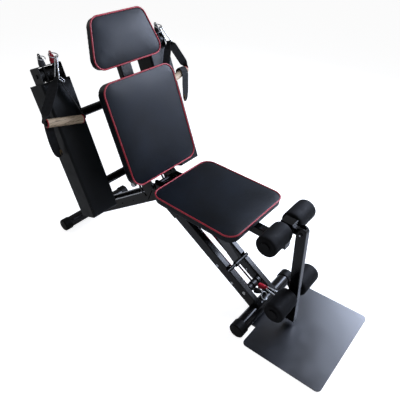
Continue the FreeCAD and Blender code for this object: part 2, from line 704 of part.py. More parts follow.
STOP_GAP = 19.0
front_runs = []
front_stops = []
for side in (-1, 1):
    x = side * size("frontcordx")
    begin = Vec(x, -cord_v, size("anchoru") + 13)
    corner = Vec(x, -cord_v, corner_u)
    leave = Vec(x, 0, 0) + exit_point
    base = leave + exit_way * STOP_GAP
    front_runs.append(cord([begin, corner, base + exit_way * (size("stopperlength") - 6)],
                           cord_radius, front_wrap))
    knot = rod(8.0, 10.0, Vec(x, -cord_v, size("anchoru") + 9.3), AXIS_Z)
    front_runs[-1] = front_runs[-1].fuse(knot)
    front_stops.append(stopper(base, exit_way))
group("front_cords", front_runs, RAIL)
group("front_cord_stoppers", front_stops, RAIL)

# ---------------------------------------------------------------- rear legs
leg_half = size("legdepth") / 2
wall = size("tubewall")


def leg_outline(inset, beyond):
    """Side view of a rear leg: round at the hinge, straight at the floor tube."""
    r = leg_half - inset
    arc = Part.ArcOfCircle(Part.Circle(Vec(0, 0, 0), AXIS_Z, r), math.pi, 2 * math.pi)
    left, right = Vec(-r, 0, 0), Vec(r, 0, 0)
    low_left, low_right = Vec(-r, leg_length + beyond, 0), Vec(r, leg_length + beyond, 0)
    return [arc, Part.LineSegment(right, low_right), Part.LineSegment(low_right, low_left),
            Part.LineSegment(low_left, left)]


for name, side in SIDES:
    label = "rear_leg_" + name
    leg = new_body(label)
    middle = side * (size("framehalf") - size("railwidth") / 2)
    half_width = "Sizes.railwidth - 2 * Sizes.gap"
    outline = sketch_on(leg, "YZ_Plane", leg_outline(0, 0), str(middle))
    pad(leg, outline, half_width, both_ways=True)
    fillet(leg, "Sizes.railcorner", along(AXIS_Z))
    hollow = sketch_on(leg, "YZ_Plane", leg_outline(wall, 5), str(middle))
    pocket(leg, hollow, half_width + " - 2 * Sizes.tubewall")
    pocket(leg, disc_sketch(leg, "YZ_Plane", HOLE))
    through_x(leg, disc(0, leg_length, size("stabradius") + size("running")))
    for distance in (231.0, 338.0):
        through_x(leg, disc(0, distance, 4.0))
    node(label, leg, LEG)

braces = []
inner_leg = size("framehalf") - size("railwidth") + size("gap")
for step in range(2):
    z = size("bracefirst") + step * size("bracepitch")
    start = Vec(-inner_leg, 0, z)
    solid = rod(size("braceradius"), 2 * inner_leg, start, AXIS_X)
    braces.append(solid.cut(rod(size("braceradius") - wall, 2 * inner_leg, start, AXIS_X)))
group("rear_leg_braces", braces, LEG)

# ---------------------------------------------------------------- back frame
back_y, back_z = size("backdepth"), -size("backdrop")
lean = math.radians(90 - size("backlean"))
pin_y = back_y + size("indexradius") * math.cos(lean)
pin_z = back_z + size("indexradius") * math.sin(lean)
spine_front = size("spinefront")
spine_mid = spine_front + size("spinedepth") / 2
yoke_inner = outer_face + size("gap")
yoke_outer = yoke_inner + size("armthick")
spine_low = size("spinelow")
cross_at = [(size("crossdepth"), size("crosslow")), (size("crossdepth"), size("crosshigh"))]

back = new_body("back_frame")
pad(back, box_sketch(back, "XY_Plane", "Sizes.spinewidth", "Sizes.spinedepth",
                     ("0", "Sizes.spinefront + Sizes.spinedepth / 2"), "Sizes.spinelow"),
    "Sizes.spinehigh - Sizes.spinelow")
fillet(back, "Sizes.railcorner", along(AXIS_Z))
pocket(back, box_sketch(back, "XY_Plane", "Sizes.spinewidth - 2 * Sizes.tubewall",
                        "Sizes.spinedepth - 2 * Sizes.tubewall",
                        ("0", "Sizes.spinefront + Sizes.spinedepth / 2"), "Sizes.spinehigh"),
       "2 * (Sizes.spinehigh - Sizes.spinelow - 35)")
pad(back, box_sketch(back, "YZ_Plane", "Sizes.yokedepth", "Sizes.yokedepth",
                     (str(spine_mid), str(spine_low + size("yokedepth") / 2))),
    str(2 * yoke_outer), both_ways=True)
arm_hull = [(back_y, back_z, 17.0), (pin_y, pin_z, 15.0), (spine_mid + 1, 0.0, 14.0)]
arm_strip = [(spine_mid + 1, -2.0, 14.0), (spine_mid, spine_low + 15, 14.0)]
standoff_hulls = [
    [(cross_at[0][0], cross_at[0][1], 24.0), (spine_mid, spine_low + 30, 14.0),
     (spine_mid, spine_low + 12, 12.0)],
    [(cross_at[1][0], cross_at[1][1], 24.0), (spine_mid, cross_at[1][1] + 30, 14.0),
     (spine_mid, cross_at[1][1] - 30, 14.0)],
]
for side in (-1, 1):
    start = yoke_inner if side > 0 else -yoke_outer
    pad(back, sketch_on(back, "YZ_Plane", belt(arm_strip), str(start)), "Sizes.armthick")
    pad(back, sketch_on(back, "YZ_Plane", belt(arm_hull), str(start)), "Sizes.armthick")
    start = 30.0 if side > 0 else -34.0
    for hull in standoff_hulls:
        pad(back, sketch_on(back, "YZ_Plane", belt(hull), str(start)), "Sizes.plate")
pad(back, disc_sketch(back, "YZ_Plane", "11", (str(pin_y), str(pin_z)), str(-yoke_outer)),
    "16", backwards=True)
through_x(back, disc(back_y, back_z, pin + size("running")))
for y, z in cross_at:
    through_x(back, disc(y, z, size("crossradius") + size("running")))
pocket(back, disc_sketch(back, "YZ_Plane", "Sizes.indexhole", (str(pin_y), str(pin_z)),
                         str(-yoke_outer)), "40")
node("back_frame", back, BACKREST)

pin_start = outer_face - size("plate") + 0.2
knob_start = yoke_outer + 16 + size("gap")
plunger = [(pin_start, 0), (pin_start, size("indexhole") - size("running")),
           (knob_start, size("indexhole") - size("running")), (knob_start, 9), (knob_start + 6, 9),
           (knob_start + 9, 14), (knob_start + 22, 14), (knob_start + 25, 11), (knob_start + 25, 0)]
group("pull_pin", [lathe(plunger, Vec(0, pin_y, pin_z), Vec(-1, 0, 0))], BACKREST)

cross_tubes = []
for y, z in cross_at:
    start = Vec(-size("crosshalf"), y, z)
    length = 2 * size("crosshalf")
    solid = rod(size("crossradius"), length, start, AXIS_X)
    cross_tubes.append(solid.cut(rod(size("crossradius") - wall, length, start, AXIS_X)))
group("tower_cross_tubes", cross_tubes, BACKREST)

# ---------------------------------------------------------------- cushions and boards
BOARD = 12.0


def cushion(label, outline, front, depth, place, plane="XZ_Plane"):
    """Simple closed cushion: rounded outline, swollen face."""
    body = new_body(label)
    pad(body, sketch_on(body, plane, outline, str(front)), str(depth), backwards=plane == "XZ_Plane")
    doc.recompute()
    return body


def rounded(points, radius):
    """Closed outline with equal round corners, corners given counter-clockwise."""
    centres = []
    count = len(points)
    for i in range(count):
        before, corner, after = (Vec(*points[j % count], 0) for j in (i - 1, i, i + 1))
        a = (before - corner).normalize()
        b = (after - corner).normalize()
        half = a.getAngle(b) / 2
        centre = corner + (a + b).normalize() * (radius / math.sin(half))
        centres.append((centre.x, centre.y, radius))
    return belt(centres)


def shrunk(points, inset):
    """Outline moved inwards by an equal distance on every side."""
    moved = []
    count = len(points)
    for i in range(count):
        before, corner, after = (Vec(*points[j % count], 0) for j in (i - 1, i, i + 1))
        a = (before - corner).normalize()
        b = (after - corner).normalize()
        half = a.getAngle(b) / 2
        centre = corner + (a + b).normalize() * (inset / math.sin(half))
        moved.append((centre.x, centre.y))
    return moved


def facing_edges(front):
    """Test for the edges that lie in the plane y = front."""
    def test(edge):
        box = edge.BoundBox
        return abs(box.YMin - front) < 1e-4 and abs(box.YMax - front) < 1e-4
    return test


def back_cushion(label, points, corner, piping):
    """Cushion of the backrest and the board behind it."""
    crown = size("padcrown")
    thick = size("padthick")
    body = new_body(label + "_pad")
    sketch = sketch_on(body, "XZ_Plane", rounded(points, corner), str(-(piping - crown)))
    pad(body, sketch, str(thick - piping + crown), backwards=True)
    fillet(body, "Sizes.padcrown", facing_edges(piping - crown))
    node(label + "_pad", body, BACKREST)
    inset = size("boardinset")
    board = new_body(label + "_board")
    sketch = sketch_on(board, "XZ_Plane", rounded(shrunk(points, inset), corner - inset), str(-thick))
    pad(board, sketch, str(spine_front - thick), backwards=True)
    node(label + "_board", board, BACKREST)


half = size("padwidth") / 2
high = size("padheight")
back_cushion("back", [(-half, 0), (half, 0), (half, high), (-half, high)], size("padcorner"), 0.0)
low = size("headlow")
high = low + size("headheight2")
wide, narrow = size("headwide") / 2, size("headnarrow") / 2
back_cushion("head", [(-wide, low), (wide, low), (narrow, high), (-narrow, high)],
             size("padcorner") - 8, size("headfront"))

# ---------------------------------------------------------------- seat
half = size("seatwidth") / 2
seat_points = [(-half, -size("seatlength")), (half, -size("seatlength")), (half, 0), (-half, 0)]
thick = size("seatthick")
seat_pad = new_body("seat_pad")
pad(seat_pad, sketch_on(seat_pad, "XY_Plane", rounded(seat_points, size("padcorner")), str(-thick)),
    "Sizes.seatthick + Sizes.padcrown")
fillet(seat_pad, "Sizes.padcrown", top_rim(size("padcrown")))
node("seat_pad", seat_pad, BENCH)
inset = size("boardinset")
seat_board = new_body("seat_board")
board_edges = rounded(shrunk(seat_points, inset), size("padcorner") - inset)
pad(seat_board, sketch_on(seat_board, "XY_Plane", board_edges, str(-thick - size("seatboard"))),
    "Sizes.seatboard")
node("seat_board", seat_board, BENCH)

tube_mid = -size("seatdrop")
tube_half = size("seattube") / 2
strut_at = (size("strutback"), -size("strutdrop"))
seat = new_body("seat_frame")
pad(seat, box_sketch(seat, "XZ_Plane", "Sizes.seattube", "Sizes.seattube", ("0", "-Sizes.seatdrop"),
                     "Sizes.seatreach"), "Sizes.seatreach + Sizes.seatback - 4", backwards=True)
fillet(seat, "Sizes.railcorner", along(AXIS_Y))
pocket(seat, box_sketch(seat, "XZ_Plane", "Sizes.seattube - 2 * Sizes.tubewall",
                        "Sizes.seattube - 2 * Sizes.tubewall", ("0", "-Sizes.seatdrop"),
                        "Sizes.seatreach"), "2 * (Sizes.seatreach + Sizes.seatback - 26)")
pad(seat, disc_sketch(seat, "YZ_Plane", "12", ("Sizes.seatback", "-Sizes.seatdrop")), "75.4",
    both_ways=True)
slat_top = -thick - size("seatboard")
for slat in (-90.0, -330.0):
    thickness = tube_mid + tube_half
    pad(seat, box_sketch(seat, "XY_Plane", "300", "Sizes.slatwidth", ("0", str(slat)), str(thickness)),
        str(slat_top - thickness))
pocket(seat, disc_sketch(seat, "YZ_Plane", HOLE, ("Sizes.seatback", "-Sizes.seatdrop")))
pocket(seat, disc_sketch(seat, "YZ_Plane", "5 + Sizes.running", (str(strut_at[0]), str(strut_at[1]))))
node("seat_frame", seat, BENCH)

plug = new_body("seat_tube_plug")
pad(plug, box_sketch(plug, "XZ_Plane", "Sizes.seattube", "Sizes.seattube", ("0", "-Sizes.seatdrop"),
                     "Sizes.seatreach"), "4")
fillet(plug, "Sizes.railcorner", along(AXIS_Y))
pad(plug, box_sketch(plug, "XZ_Plane", "Sizes.seattube - 2 * Sizes.tubewall - 2 * Sizes.running",
                     "Sizes.seattube - 2 * Sizes.tubewall - 2 * Sizes.running",
                     ("0", "-Sizes.seatdrop"), "Sizes.seatreach"), "15", backwards=True)
node("seat_tube_plug", plug, BENCH)


def bench_local(y, z):
    """Coordinates of a global point in the seat's own frame."""
    local = BENCH.inverse().multVec(Vec(0, y, z))
    return local.y, local.z


roll_at = bench_local(*roller_at)
hinge_at = bench_local(*arm_bolt_at)
bracket = new_body("roller_bracket")
tube_top = tube_mid + tube_half
box_low = roll_at[1] - 18
box_mid = (roll_at[0] - 5, box_low + size("bracketheight") / 2)
pad(bracket, box_sketch(bracket, "YZ_Plane", "53", "Sizes.bracketheight", tuple(map(str, box_mid))),
    "Sizes.bracketwidth", both_ways=True)
fillet(bracket, "3", along(AXIS_X))
neck = polygon([(-size("seatreach"), tube_top), (-size("seatreach") + 36, tube_top),
                (box_mid[0] + 24, box_low + 4), (box_mid[0] - 5, box_low + 4)])
pad(bracket, sketch_on(bracket, "YZ_Plane", neck), "30", both_ways=True)
nose = [(hinge_at[0], hinge_at[1], 14.0), (box_mid[0] - 10, hinge_at[1] + 2, 14.0)]
pad(bracket, sketch_on(bracket, "YZ_Plane", belt(nose)), "20", both_ways=True)
pocket(bracket, disc_sketch(bracket, "YZ_Plane", "Sizes.armboltradius + Sizes.running",
                            tuple(map(str, hinge_at))))
pocket(bracket, disc_sketch(bracket, "YZ_Plane", "Sizes.shaftradius + Sizes.running",
                            tuple(map(str, roll_at))))
node("roller_bracket", bracket, BENCH)

cheek = 0.5 + tube_half
seat_bolts = [bolt(5.0, cheek + size("plate") + size("gap"), 9.0, 4.0, *strut_at),
              bolt(size("armboltradius"), size("armwidth") / 2 + size("gap"), 9.0, 4.0, *hinge_at)]
group("seat_bolts", seat_bolts, BENCH)


def roller_shaft(inner):
    """Shaft with a washer on each side of both rollers."""
    shaft = size("shaftradius")
    washer = size("washerradius")
    near = size("rollerinner") - size("gap")
    far = near + size("rollerlength") + 2 * size("gap")
    half_profile = [(inner, shaft), (inner, washer), (near, washer), (near, shaft), (far, shaft),
                    (far, washer), (far + 4, washer), (far + 4, 0)]
    profile = [(-x, r) for x, r in reversed(half_profile)] + half_profile
    return lathe(profile, Vec(0, 0, 0), AXIS_X)


def roller(side):
    """Foam roller with rounded ends and a through bore."""
    r = size("rollerradius")
    near = size("rollerinner")
    length = size("rollerlength")
    bore = size("shaftradius") + size("running")
    profile = [(0, bore), (0, r - 5), (1.5, r - 1.5), (5, r), (length - 5, r), (length - 1.5, r - 1.5),
               (length, r - 5), (length, bore)]
    return lathe(profile, Vec(side * near, 0, 0), Vec(side, 0, 0))


UPPER = frame(*roller_at, 0)
LOWER = frame(*lower_at, 0)
group("upper_roller_shaft", [roller_shaft(size("bracketwidth") / 2)], UPPER)
group("lower_roller_shaft", [roller_shaft(size("armwidth") / 2)], LOWER)
for name, side in SIDES:
    group("upper_roller_" + name, [roller(side)], UPPER)
    group("lower_roller_" + name, [roller(side)], LOWER)

# ---------------------------------------------------------------- seat strut
strut_top = BENCH.multVec(Vec(0, strut_at[0], strut_at[1]))
rod_spot = RAIL.multVec(Vec(0, *rail_point(size("rodu"), size("rodv"))))
strut_length = (rod_spot - strut_top).Length
strut_turn = math.degrees(math.atan2(-(rod_spot.y - strut_top.y), rod_spot.z - strut_top.z))
STRUT = frame(strut_top.y, strut_top.z, strut_turn)
strut = new_body("seat_strut")
ears = [(0.0, 68.0, 14.0), (0.0, 0.0, 14.0)]
for side in (-1, 1):
    start = cheek if side > 0 else -cheek - size("plate")
    pad(strut, sketch_on(strut, "YZ_Plane", belt(ears), str(start)), "Sizes.plate")
web = polygon([(-29, 62), (29, 62), (16, strut_length - 6), (-16, strut_length - 6)])
pad(strut, sketch_on(strut, "XZ_Plane", web), "Sizes.plate", both_ways=True)
pad(strut, disc_sketch(strut, "YZ_Plane", "13", ("0", str(strut_length))), "32", both_ways=True)
pocket(strut, disc_sketch(strut, "YZ_Plane", "5 + Sizes.running"))
pocket(strut, disc_sketch(strut, "YZ_Plane", "Sizes.rodradius + Sizes.running", ("0", str(strut_length))))
node("seat_strut", strut, STRUT)
rod_half = size("rodhalf")
rod_end = size("rodradius")
hook = lathe([(-rod_half, 0), (-rod_half, rod_end - 1), (-rod_half + 1, rod_end),
              (rod_half - 1, rod_end), (rod_half, rod_end - 1), (rod_half, 0)],
             Vec(0, 0, strut_length), AXIS_X)
group("hook_rod", [hook], STRUT)

# ---------------------------------------------------------------- leg arm
ARM = frame(*arm_bolt_at, 0)
arm_mid = size("armboltahead") - size("armahead")
arm_half = size("armdepth") / 2
arm_low = size("armlow") - size("armpivotz")
arm_high = size("armtop") - arm_half


def arm_outline(inset, low):
    """Side view of the leg arm: round top, open bottom."""
    r = arm_half - inset
    arc = Part.ArcOfCircle(Part.Circle(Vec(arm_mid, arm_high, 0), AXIS_Z, r), 0, math.pi)
    left, right = Vec(arm_mid - r, arm_high, 0), Vec(arm_mid + r, arm_high, 0)
    low_left, low_right = Vec(arm_mid - r, low, 0), Vec(arm_mid + r, low, 0)
    return [arc, Part.LineSegment(left, low_left), Part.LineSegment(low_left, low_right),
            Part.LineSegment(low_right, right)]


arm = new_body("leg_arm")
pad(arm, sketch_on(arm, "YZ_Plane", arm_outline(0, arm_low)), "Sizes.armwidth", both_ways=True)
fillet(arm, "Sizes.railcorner", along(AXIS_Z))
pocket(arm, sketch_on(arm, "YZ_Plane", arm_outline(wall, arm_low - 5)),
       "Sizes.armwidth - 2 * Sizes.tubewall")
slot = polygon([(-15, -17), (60, -17), (60, 60), (-15, 60)])
pocket(arm, sketch_on(arm, "YZ_Plane", slot), "21")
pocket(arm, disc_sketch(arm, "YZ_Plane", "Sizes.armboltradius + Sizes.running"))
shaft_at = (lower_at[0] - arm_bolt_at[0], lower_at[1] - arm_bolt_at[1])
pocket(arm, disc_sketch(arm, "YZ_Plane", "Sizes.shaftradius + Sizes.running", tuple(map(str, shaft_at))))
node("leg_arm", arm, ARM)

plug = new_body("leg_arm_plug")
plug_at = ("0", str(arm_mid))
pad(plug, box_sketch(plug, "XY_Plane", "Sizes.armwidth", "Sizes.armdepth", plug_at, str(arm_low)),
    "4", backwards=True)
pad(plug, box_sketch(plug, "XY_Plane", "Sizes.armwidth - 2 * Sizes.tubewall - 0.1",
                     "Sizes.armdepth - 2 * Sizes.tubewall - 0.1", plug_at, str(arm_low)), "15")
node("leg_arm_plug", plug, ARM)

# ---------------------------------------------------------------- towers
tower_mid = size("towerinner") + size("towerwidth") / 2
tower_low = size("towerlow")
tower_top = tower_low + size("towerheight")
tower_front = size("towerfront")
tower_rear = tower_front + size("towerdepth")
block_mid = tower_mid + size("blockshift")
cord_spread = size("cordspread")
bar_z = tower_low + size("barup")
pulley_z = tower_top + size("pulleyup")
block_high = size("pulleyup") + size("pulleyradius") + 1.5 + size("blockplate")
cord_front = tower_front + 9.0
pulley_y = cord_front + wrap
bar_wrap = size("barradius") + cord_radius + size("running")
anchor_z = tower_top - size("anchordown")
stop_base = tower_top + block_high

for name, side in SIDES:
    label = "tower_shell_" + name
    shell = new_body(label)
    middle = ("%d * (Sizes.towerinner + Sizes.towerwidth / 2)" % side,
              "Sizes.towerfront + Sizes.towerdepth / 2")
    pad(shell, box_sketch(shell, "XY_Plane", "Sizes.towerwidth", "Sizes.towerdepth", middle,
                          "Sizes.towerlow"), "Sizes.towerheight")

    def front_edge(edge, face=tower_front):
        box = edge.BoundBox
        return abs(box.YMin - face) < 1e-4 and abs(box.YMax - face) < 1e-4

    fillet(shell, "Sizes.toweredge", front_edge)
    pocket(shell, box_sketch(shell, "XZ_Plane", "Sizes.towerwidth - 2 * Sizes.towerwall",
                             "Sizes.towerheight - 2 * Sizes.towerwall",
                             (middle[0], str(tower_low + size("towerheight") / 2)), str(-tower_rear)),
           "2 * (Sizes.towerdepth - Sizes.towerwall)")
    for y, z in cross_at:
        pocket(shell, disc_sketch(shell, "YZ_Plane", "Sizes.crossradius + Sizes.running",
                                  (str(y), str(z)), "%d * Sizes.towerinner" % side), "20")
    for spread in (-1, 1):
        spot = (str(side * block_mid + spread * cord_spread), str(cord_front))
        pocket(shell, disc_sketch(shell, "XY_Plane", "5.5", spot, str(tower_top)), "10")
    node(label, shell, BACKREST)

    label = "tower_block_" + name
    block = new_body(label)
    centre = (str(side * block_mid), str(pulley_y))
    pad(block, box_sketch(block, "XY_Plane", "Sizes.blockwidth", "65", centre, str(tower_top)),
        str(block_high))
    fillet(block, "5", lambda edge: along(AXIS_Y)(edge) and edge.BoundBox.ZMax > tower_top + 1)
    inner_high = block_high - size("blockplate")
    opening = box_sketch(block, "XZ_Plane", "Sizes.blockwidth - 2 * Sizes.blockplate", str(inner_high),
                         (centre[0], str(tower_top + inner_high / 2)))
    pocket(block, opening)
    pocket(block, disc_sketch(block, "YZ_Plane", "Sizes.axleradius + Sizes.running",
                              (str(pulley_y), str(pulley_z))))
    for spread in (-1, 1):
        spot = (str(side * block_mid + spread * cord_spread), str(cord_front))
        pocket(block, disc_sketch(block, "XY_Plane", "4.6", spot))
    node(label, block, BACKREST)

    half_block = size("blockwidth") / 2
    turner = pulley(half_block - size("blockplate") - size("gap"), cord_spread,
                    Vec(side * block_mid, pulley_y, pulley_z), size("pulleyradius"),
                    size("grooveradius"))
    group("tower_pulley_" + name, [turner], BACKREST)

covers = []
cover_wide = size("towerwidth") - 2 * size("towerwall") - 0.1
cover_high = size("towerheight") - 2 * size("towerwall") - 0.1
for side in (-1, 1):
    corner = Vec(side * tower_mid - cover_wide / 2, tower_rear - size("towerwall"),
                 tower_low + (size("towerheight") - cover_high) / 2)
    covers.append(Part.makeBox(cover_wide, size("towerwall"), cover_high, corner))
group("tower_rear_covers", covers, BACKREST)

bars = []
cords = []
stops = []
inner_wall = size("towerinner") + size("towerwall")
inner_wide = size("towerwidth") - 2 * size("towerwall")
for side in (-1, 1):
    begin = inner_wall if side > 0 else -inner_wall - inner_wide
    bars.append(rod(size("barradius"), inner_wide, Vec(begin, cord_front + bar_wrap, bar_z), AXIS_X))
    cord_rear = cord_front + 2 * bar_wrap
    holder = rod(9.0, inner_wide, Vec(begin, cord_rear, anchor_z), AXIS_X)
    half_block = size("blockwidth") / 2
    spindle = lathe([(-half_block - 4, 0), (-half_block - 4, 8), (-half_block, 8),
                     (-half_block, 5), (half_block, 5), (half_block, 8), (half_block + 4, 8),
                     (half_block + 4, 0)], Vec(side * block_mid, pulley_y, pulley_z), AXIS_X)
    for spread in (-1, 1):
        x = side * block_mid + spread * cord_spread
        holder = holder.cut(rod(cord_hole, 24.0, Vec(x, cord_rear, anchor_z - 12), AXIS_Z))
        low = bar_z - bar_wrap
        line = cord([Vec(x, cord_front, stop_base + size("stopperlength") - 6),
                     Vec(x, cord_front, low), Vec(x, cord_rear, low),
                     Vec(x, cord_rear, anchor_z + 13)], cord_radius, bar_wrap)
        cords.append(line.fuse(rod(8.0, 10.0, Vec(x, cord_rear, anchor_z + 9.3), AXIS_Z)))
        stops.append(stopper(Vec(x, cord_front, stop_base), AXIS_Z))
    bars += [holder, spindle]
group("tower_bars", bars, BACKREST)
group("tower_cords", cords, BACKREST)
group("tower_stoppers", stops, BACKREST)

# ---------------------------------------------------------------- handles
def pipe_loop(circles, radius, place):
    """Closed wire bent along the band round some circles."""
    path = Part.Wire([edge.toShape() for edge in belt(circles)])
    edge = path.Edges[0]
    start = edge.valueAt(edge.FirstParameter)
    section = Part.Wire(Part.makeCircle(radius, start, edge.tangentAt(edge.FirstParameter)))
    solid = path.makePipeShell([section], True, False)
    solid.Placement = place
    return solid


def slab(edges, thickness):
    """Flat solid over an outline in the local XY plane."""
    wire = Part.Wire([edge.toShape() for edge in edges])
    return Part.Face(wire).extrude(Vec(0, 0, thickness))


def band(circles, thick, width, place):
    """Closed strip of webbing round some circles."""
    outer = slab(belt([(x, y, r + thick) for x, y, r in circles]), width)
    solid = outer.cut(slab(belt(circles), width))
    solid.Placement = place
    return solid


# local X, Y of an outline become local Y, Z of the backrest
SIDE_VIEW = FreeCAD.Rotation(Vec(1, 1, 1), 120)
# local X, Y of an outline become local X, Z of the backrest
FRONT_VIEW = FreeCAD.Rotation(AXIS_X, 90)

eye_y = cord_front
eye_z = stop_base + size("stopperlength") + size("eyeup")
depth = size("handledepth")
ring_wire = size("ringwire")
ring_big = size("ringradius")
slack = size("eyehole") - ring_wire - 0.5
ring_turn = math.asin((eye_y - depth) / (2 * ring_big + slack))
droop = Vec(0, -math.sin(ring_turn), -math.cos(ring_turn))
hook_long = size("hooklength")
wire = size("wireradius")
strap_thick = size("strapthick")
strap_wide = size("strapwidth")

# which cord of its tower each handle is clipped to, and how far out its snap hook leans
HANGING = {"left": (-1, 288.0), "right": (1, 340.0)}

for name, side in SIDES:
    clipped, lean_x = HANGING[name]
    eye_x = side * (block_mid + clipped * cord_spread)
    eye = Vec(eye_x, eye_y, eye_z)
    ring_middle = eye + droop * (slack + ring_big)
    ring = Part.makeTorus(ring_big, ring_wire, ring_middle, AXIS_X.cross(droop))
    link = eye + droop * (slack + 2 * ring_big)
    apex_x = side * lean_x
    hook_swing = math.degrees(math.asin((apex_x - eye_x) / (hook_long + 5.0)))
    tilt = FreeCAD.Rotation(AXIS_Y, -hook_swing)
    link_local = Vec(0, 0, hook_long + 8.0 - wire - ring_wire - size("gap"))
    hook_place = FreeCAD.Placement(link - tilt.multVec(link_local), tilt)
    outline = [(-11.0, 0.0, 5.0), (11.0, 0.0, 5.0), (0.0, hook_long, 8.0)]
    hook = pipe_loop(outline, wire, hook_place.multiply(FreeCAD.Placement(Vec(0, 0, 0), SIDE_VIEW)))
    group("carabiner_" + name, [ring, hook], BACKREST)

    bar_low = hook_place.multVec(Vec(0, 0, -5.0))
    grip_in = Vec(side * size("gripinx"), depth, size("gripins"))
    grip_out = Vec(side * size("gripoutx"), depth, size("gripouts"))
    axis = (grip_out - grip_in).normalize()
    middle = (grip_in + grip_out) * 0.5
    grip_long = size("griplength")
    bore = size("gripbore")
    r = size("gripradius")
    profile = [(-grip_long / 2, bore), (-grip_long / 2, r - 2), (-grip_long / 2 + 2, r),
               (grip_long / 2 - 2, r), (grip_long / 2, r - 2), (grip_long / 2, bore)]
    group("grip_" + name, [lathe(profile, middle, axis)], BACKREST)

    rise = axis.cross(Vec(0, side, 0))
    inner_r = 6.0
    reach = grip_long / 2 + 2.5
    lift = rise * (inner_r + strap_thick / 2)
    low_in = middle - axis * reach + lift
    low_out = middle + axis * reach + lift
    apex_r = wire + size("gap")
    spots = [(low_in.x, low_in.z, inner_r), (low_out.x, low_out.z, inner_r),
             (bar_low.x, bar_low.z, apex_r)]
    if side < 0:
        spots = [spots[1], spots[0], spots[2]]
    strap_place = FreeCAD.Placement(Vec(0, depth + strap_wide / 2, 0), FRONT_VIEW)
    group("handle_strap_" + name, [band(spots, strap_thick, strap_wide, strap_place)], BACKREST)

    cuff_x = size("gripoutx") - size("cuffin")
    share = (cuff_x - size("gripinx")) / (size("gripoutx") - size("gripinx"))
    cuff_z = size("gripins") + share * (size("gripouts") - size("gripins"))
    cuff_wide = size("cuffwidth")
    slant = math.atan2(abs(axis.z), abs(axis.x))
    loop_r = r / math.cos(slant) + cuff_wide / 2 * math.tan(slant) + size("gap")
    fall = math.radians(90 - size("backlean"))
    far = size("cufflength")
    tail_y, tail_z = depth + far * math.sin(fall), cuff_z - far * math.cos(fall)
    place = FreeCAD.Placement(Vec(side * cuff_x - cuff_wide / 2, 0, 0), SIDE_VIEW)
    cuff = band([(depth, cuff_z, loop_r), (tail_y, tail_z, 6.0)], strap_thick, cuff_wide, place)
    group("ankle_strap_" + name, [cuff], BACKREST)

# ---------------------------------------------------------------- front hardware
front_eye = exit_point + exit_way * (STOP_GAP + size("stopperlength") + size("eyeup"))
ring_way = Vec(0, -math.sin(math.radians(40)), -math.cos(math.radians(40)))
to_rail = RAIL.inverse().Rotation
ring_local = to_rail.multVec(ring_way)
spare_eye = front_eye + Vec(-size("frontcordx"), 0, 0)
spare_ring = Part.makeTorus(ring_big, ring_wire, spare_eye + ring_local * (slack + ring_big),
                            AXIS_X.cross(ring_local))
hook_way = to_rail.multVec(Vec(0, -math.cos(math.radians(6)), -math.sin(math.radians(6))))
main_eye = front_eye + Vec(size("frontcordx"), 0, 0)
lay = AXIS_X.cross(hook_way)
hook_axes = FreeCAD.Rotation(AXIS_X, hook_way * -1.0, lay, "XYZ")
hook_bend = 8.0
hook_run = 42.0
hook_end = main_eye + hook_way * (hook_bend + size("eyehole") - wire - 0.5)
front_hook = pipe_loop([(-6.0, 0.0, 5.0), (6.0, 0.0, 5.0), (0.0, hook_run, hook_bend)], wire,
                       FreeCAD.Placement(hook_end + hook_way * hook_run, hook_axes))
group("front_cord_hardware", [spare_ring, front_hook], RAIL)

# ---------------------------------------------------------------- export
doc.recompute()
for item in doc.Objects:
    if "Invalid" in item.State or "Error" in item.State:
        raise RuntimeError("%s did not compute: %s" % (item.Name, item.State))
os.makedirs("parts", exist_ok=True)
for label, item in NODES.items():
    shape = item.Shape
    if shape.isNull() or not shape.isValid():
        raise RuntimeError("%s has no valid shape" % label)
    shape.exportStep("parts/%s.step" % label)
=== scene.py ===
"""Looks of an adjustable exercise bench with elastic-cord towers and a leg developer.

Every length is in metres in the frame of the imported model: +X is the right-hand side of
somebody sitting on the bench, +Y points to the head end and +Z is up from the floor.
"""
import logging
import math
from dataclasses import dataclass
from enum import IntEnum
from typing import Any, Sequence

import bmesh
import bpy
from mathutils import Matrix, Vector


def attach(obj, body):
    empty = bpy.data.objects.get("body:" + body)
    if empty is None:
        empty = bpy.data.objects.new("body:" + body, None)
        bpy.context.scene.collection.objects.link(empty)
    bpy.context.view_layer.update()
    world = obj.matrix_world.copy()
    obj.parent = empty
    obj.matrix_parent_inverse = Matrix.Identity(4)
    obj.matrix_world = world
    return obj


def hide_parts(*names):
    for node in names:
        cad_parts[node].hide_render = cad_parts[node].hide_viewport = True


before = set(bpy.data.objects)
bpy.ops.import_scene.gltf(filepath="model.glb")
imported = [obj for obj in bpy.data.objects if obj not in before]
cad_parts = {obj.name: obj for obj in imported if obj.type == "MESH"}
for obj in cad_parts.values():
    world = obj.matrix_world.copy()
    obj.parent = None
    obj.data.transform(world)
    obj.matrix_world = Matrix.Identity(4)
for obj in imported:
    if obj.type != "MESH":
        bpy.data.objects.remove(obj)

LOG = logging.getLogger("bench")
MM = 0.001
CORNER_STEPS = 10
Outline = list[tuple[float, float]]


class Side(IntEnum):
    """A side of the bench, as somebody sitting on it has it, and its sign along X."""

    LEFT = -1
    RIGHT = 1

    @property
    def word(self) -> str:
        """Gives the side's name as pieces and bodies carry it."""
        return self.name.lower()


# ------------------------------------------------------------------ places
def tilted(y: float, z: float, degrees: float) -> Matrix:
    """Gives a place in the bench's middle plane, turned about X.

    Args:
        y: Place along the bench in millimetres.
        z: Height in millimetres.
        degrees: Turn about X.

    Returns:
        The matrix from local metres to the bench's frame.
    """
    shift = Matrix.Translation((0.0, y * MM, z * MM))
    return shift @ Matrix.Rotation(math.radians(degrees), 4, "X")


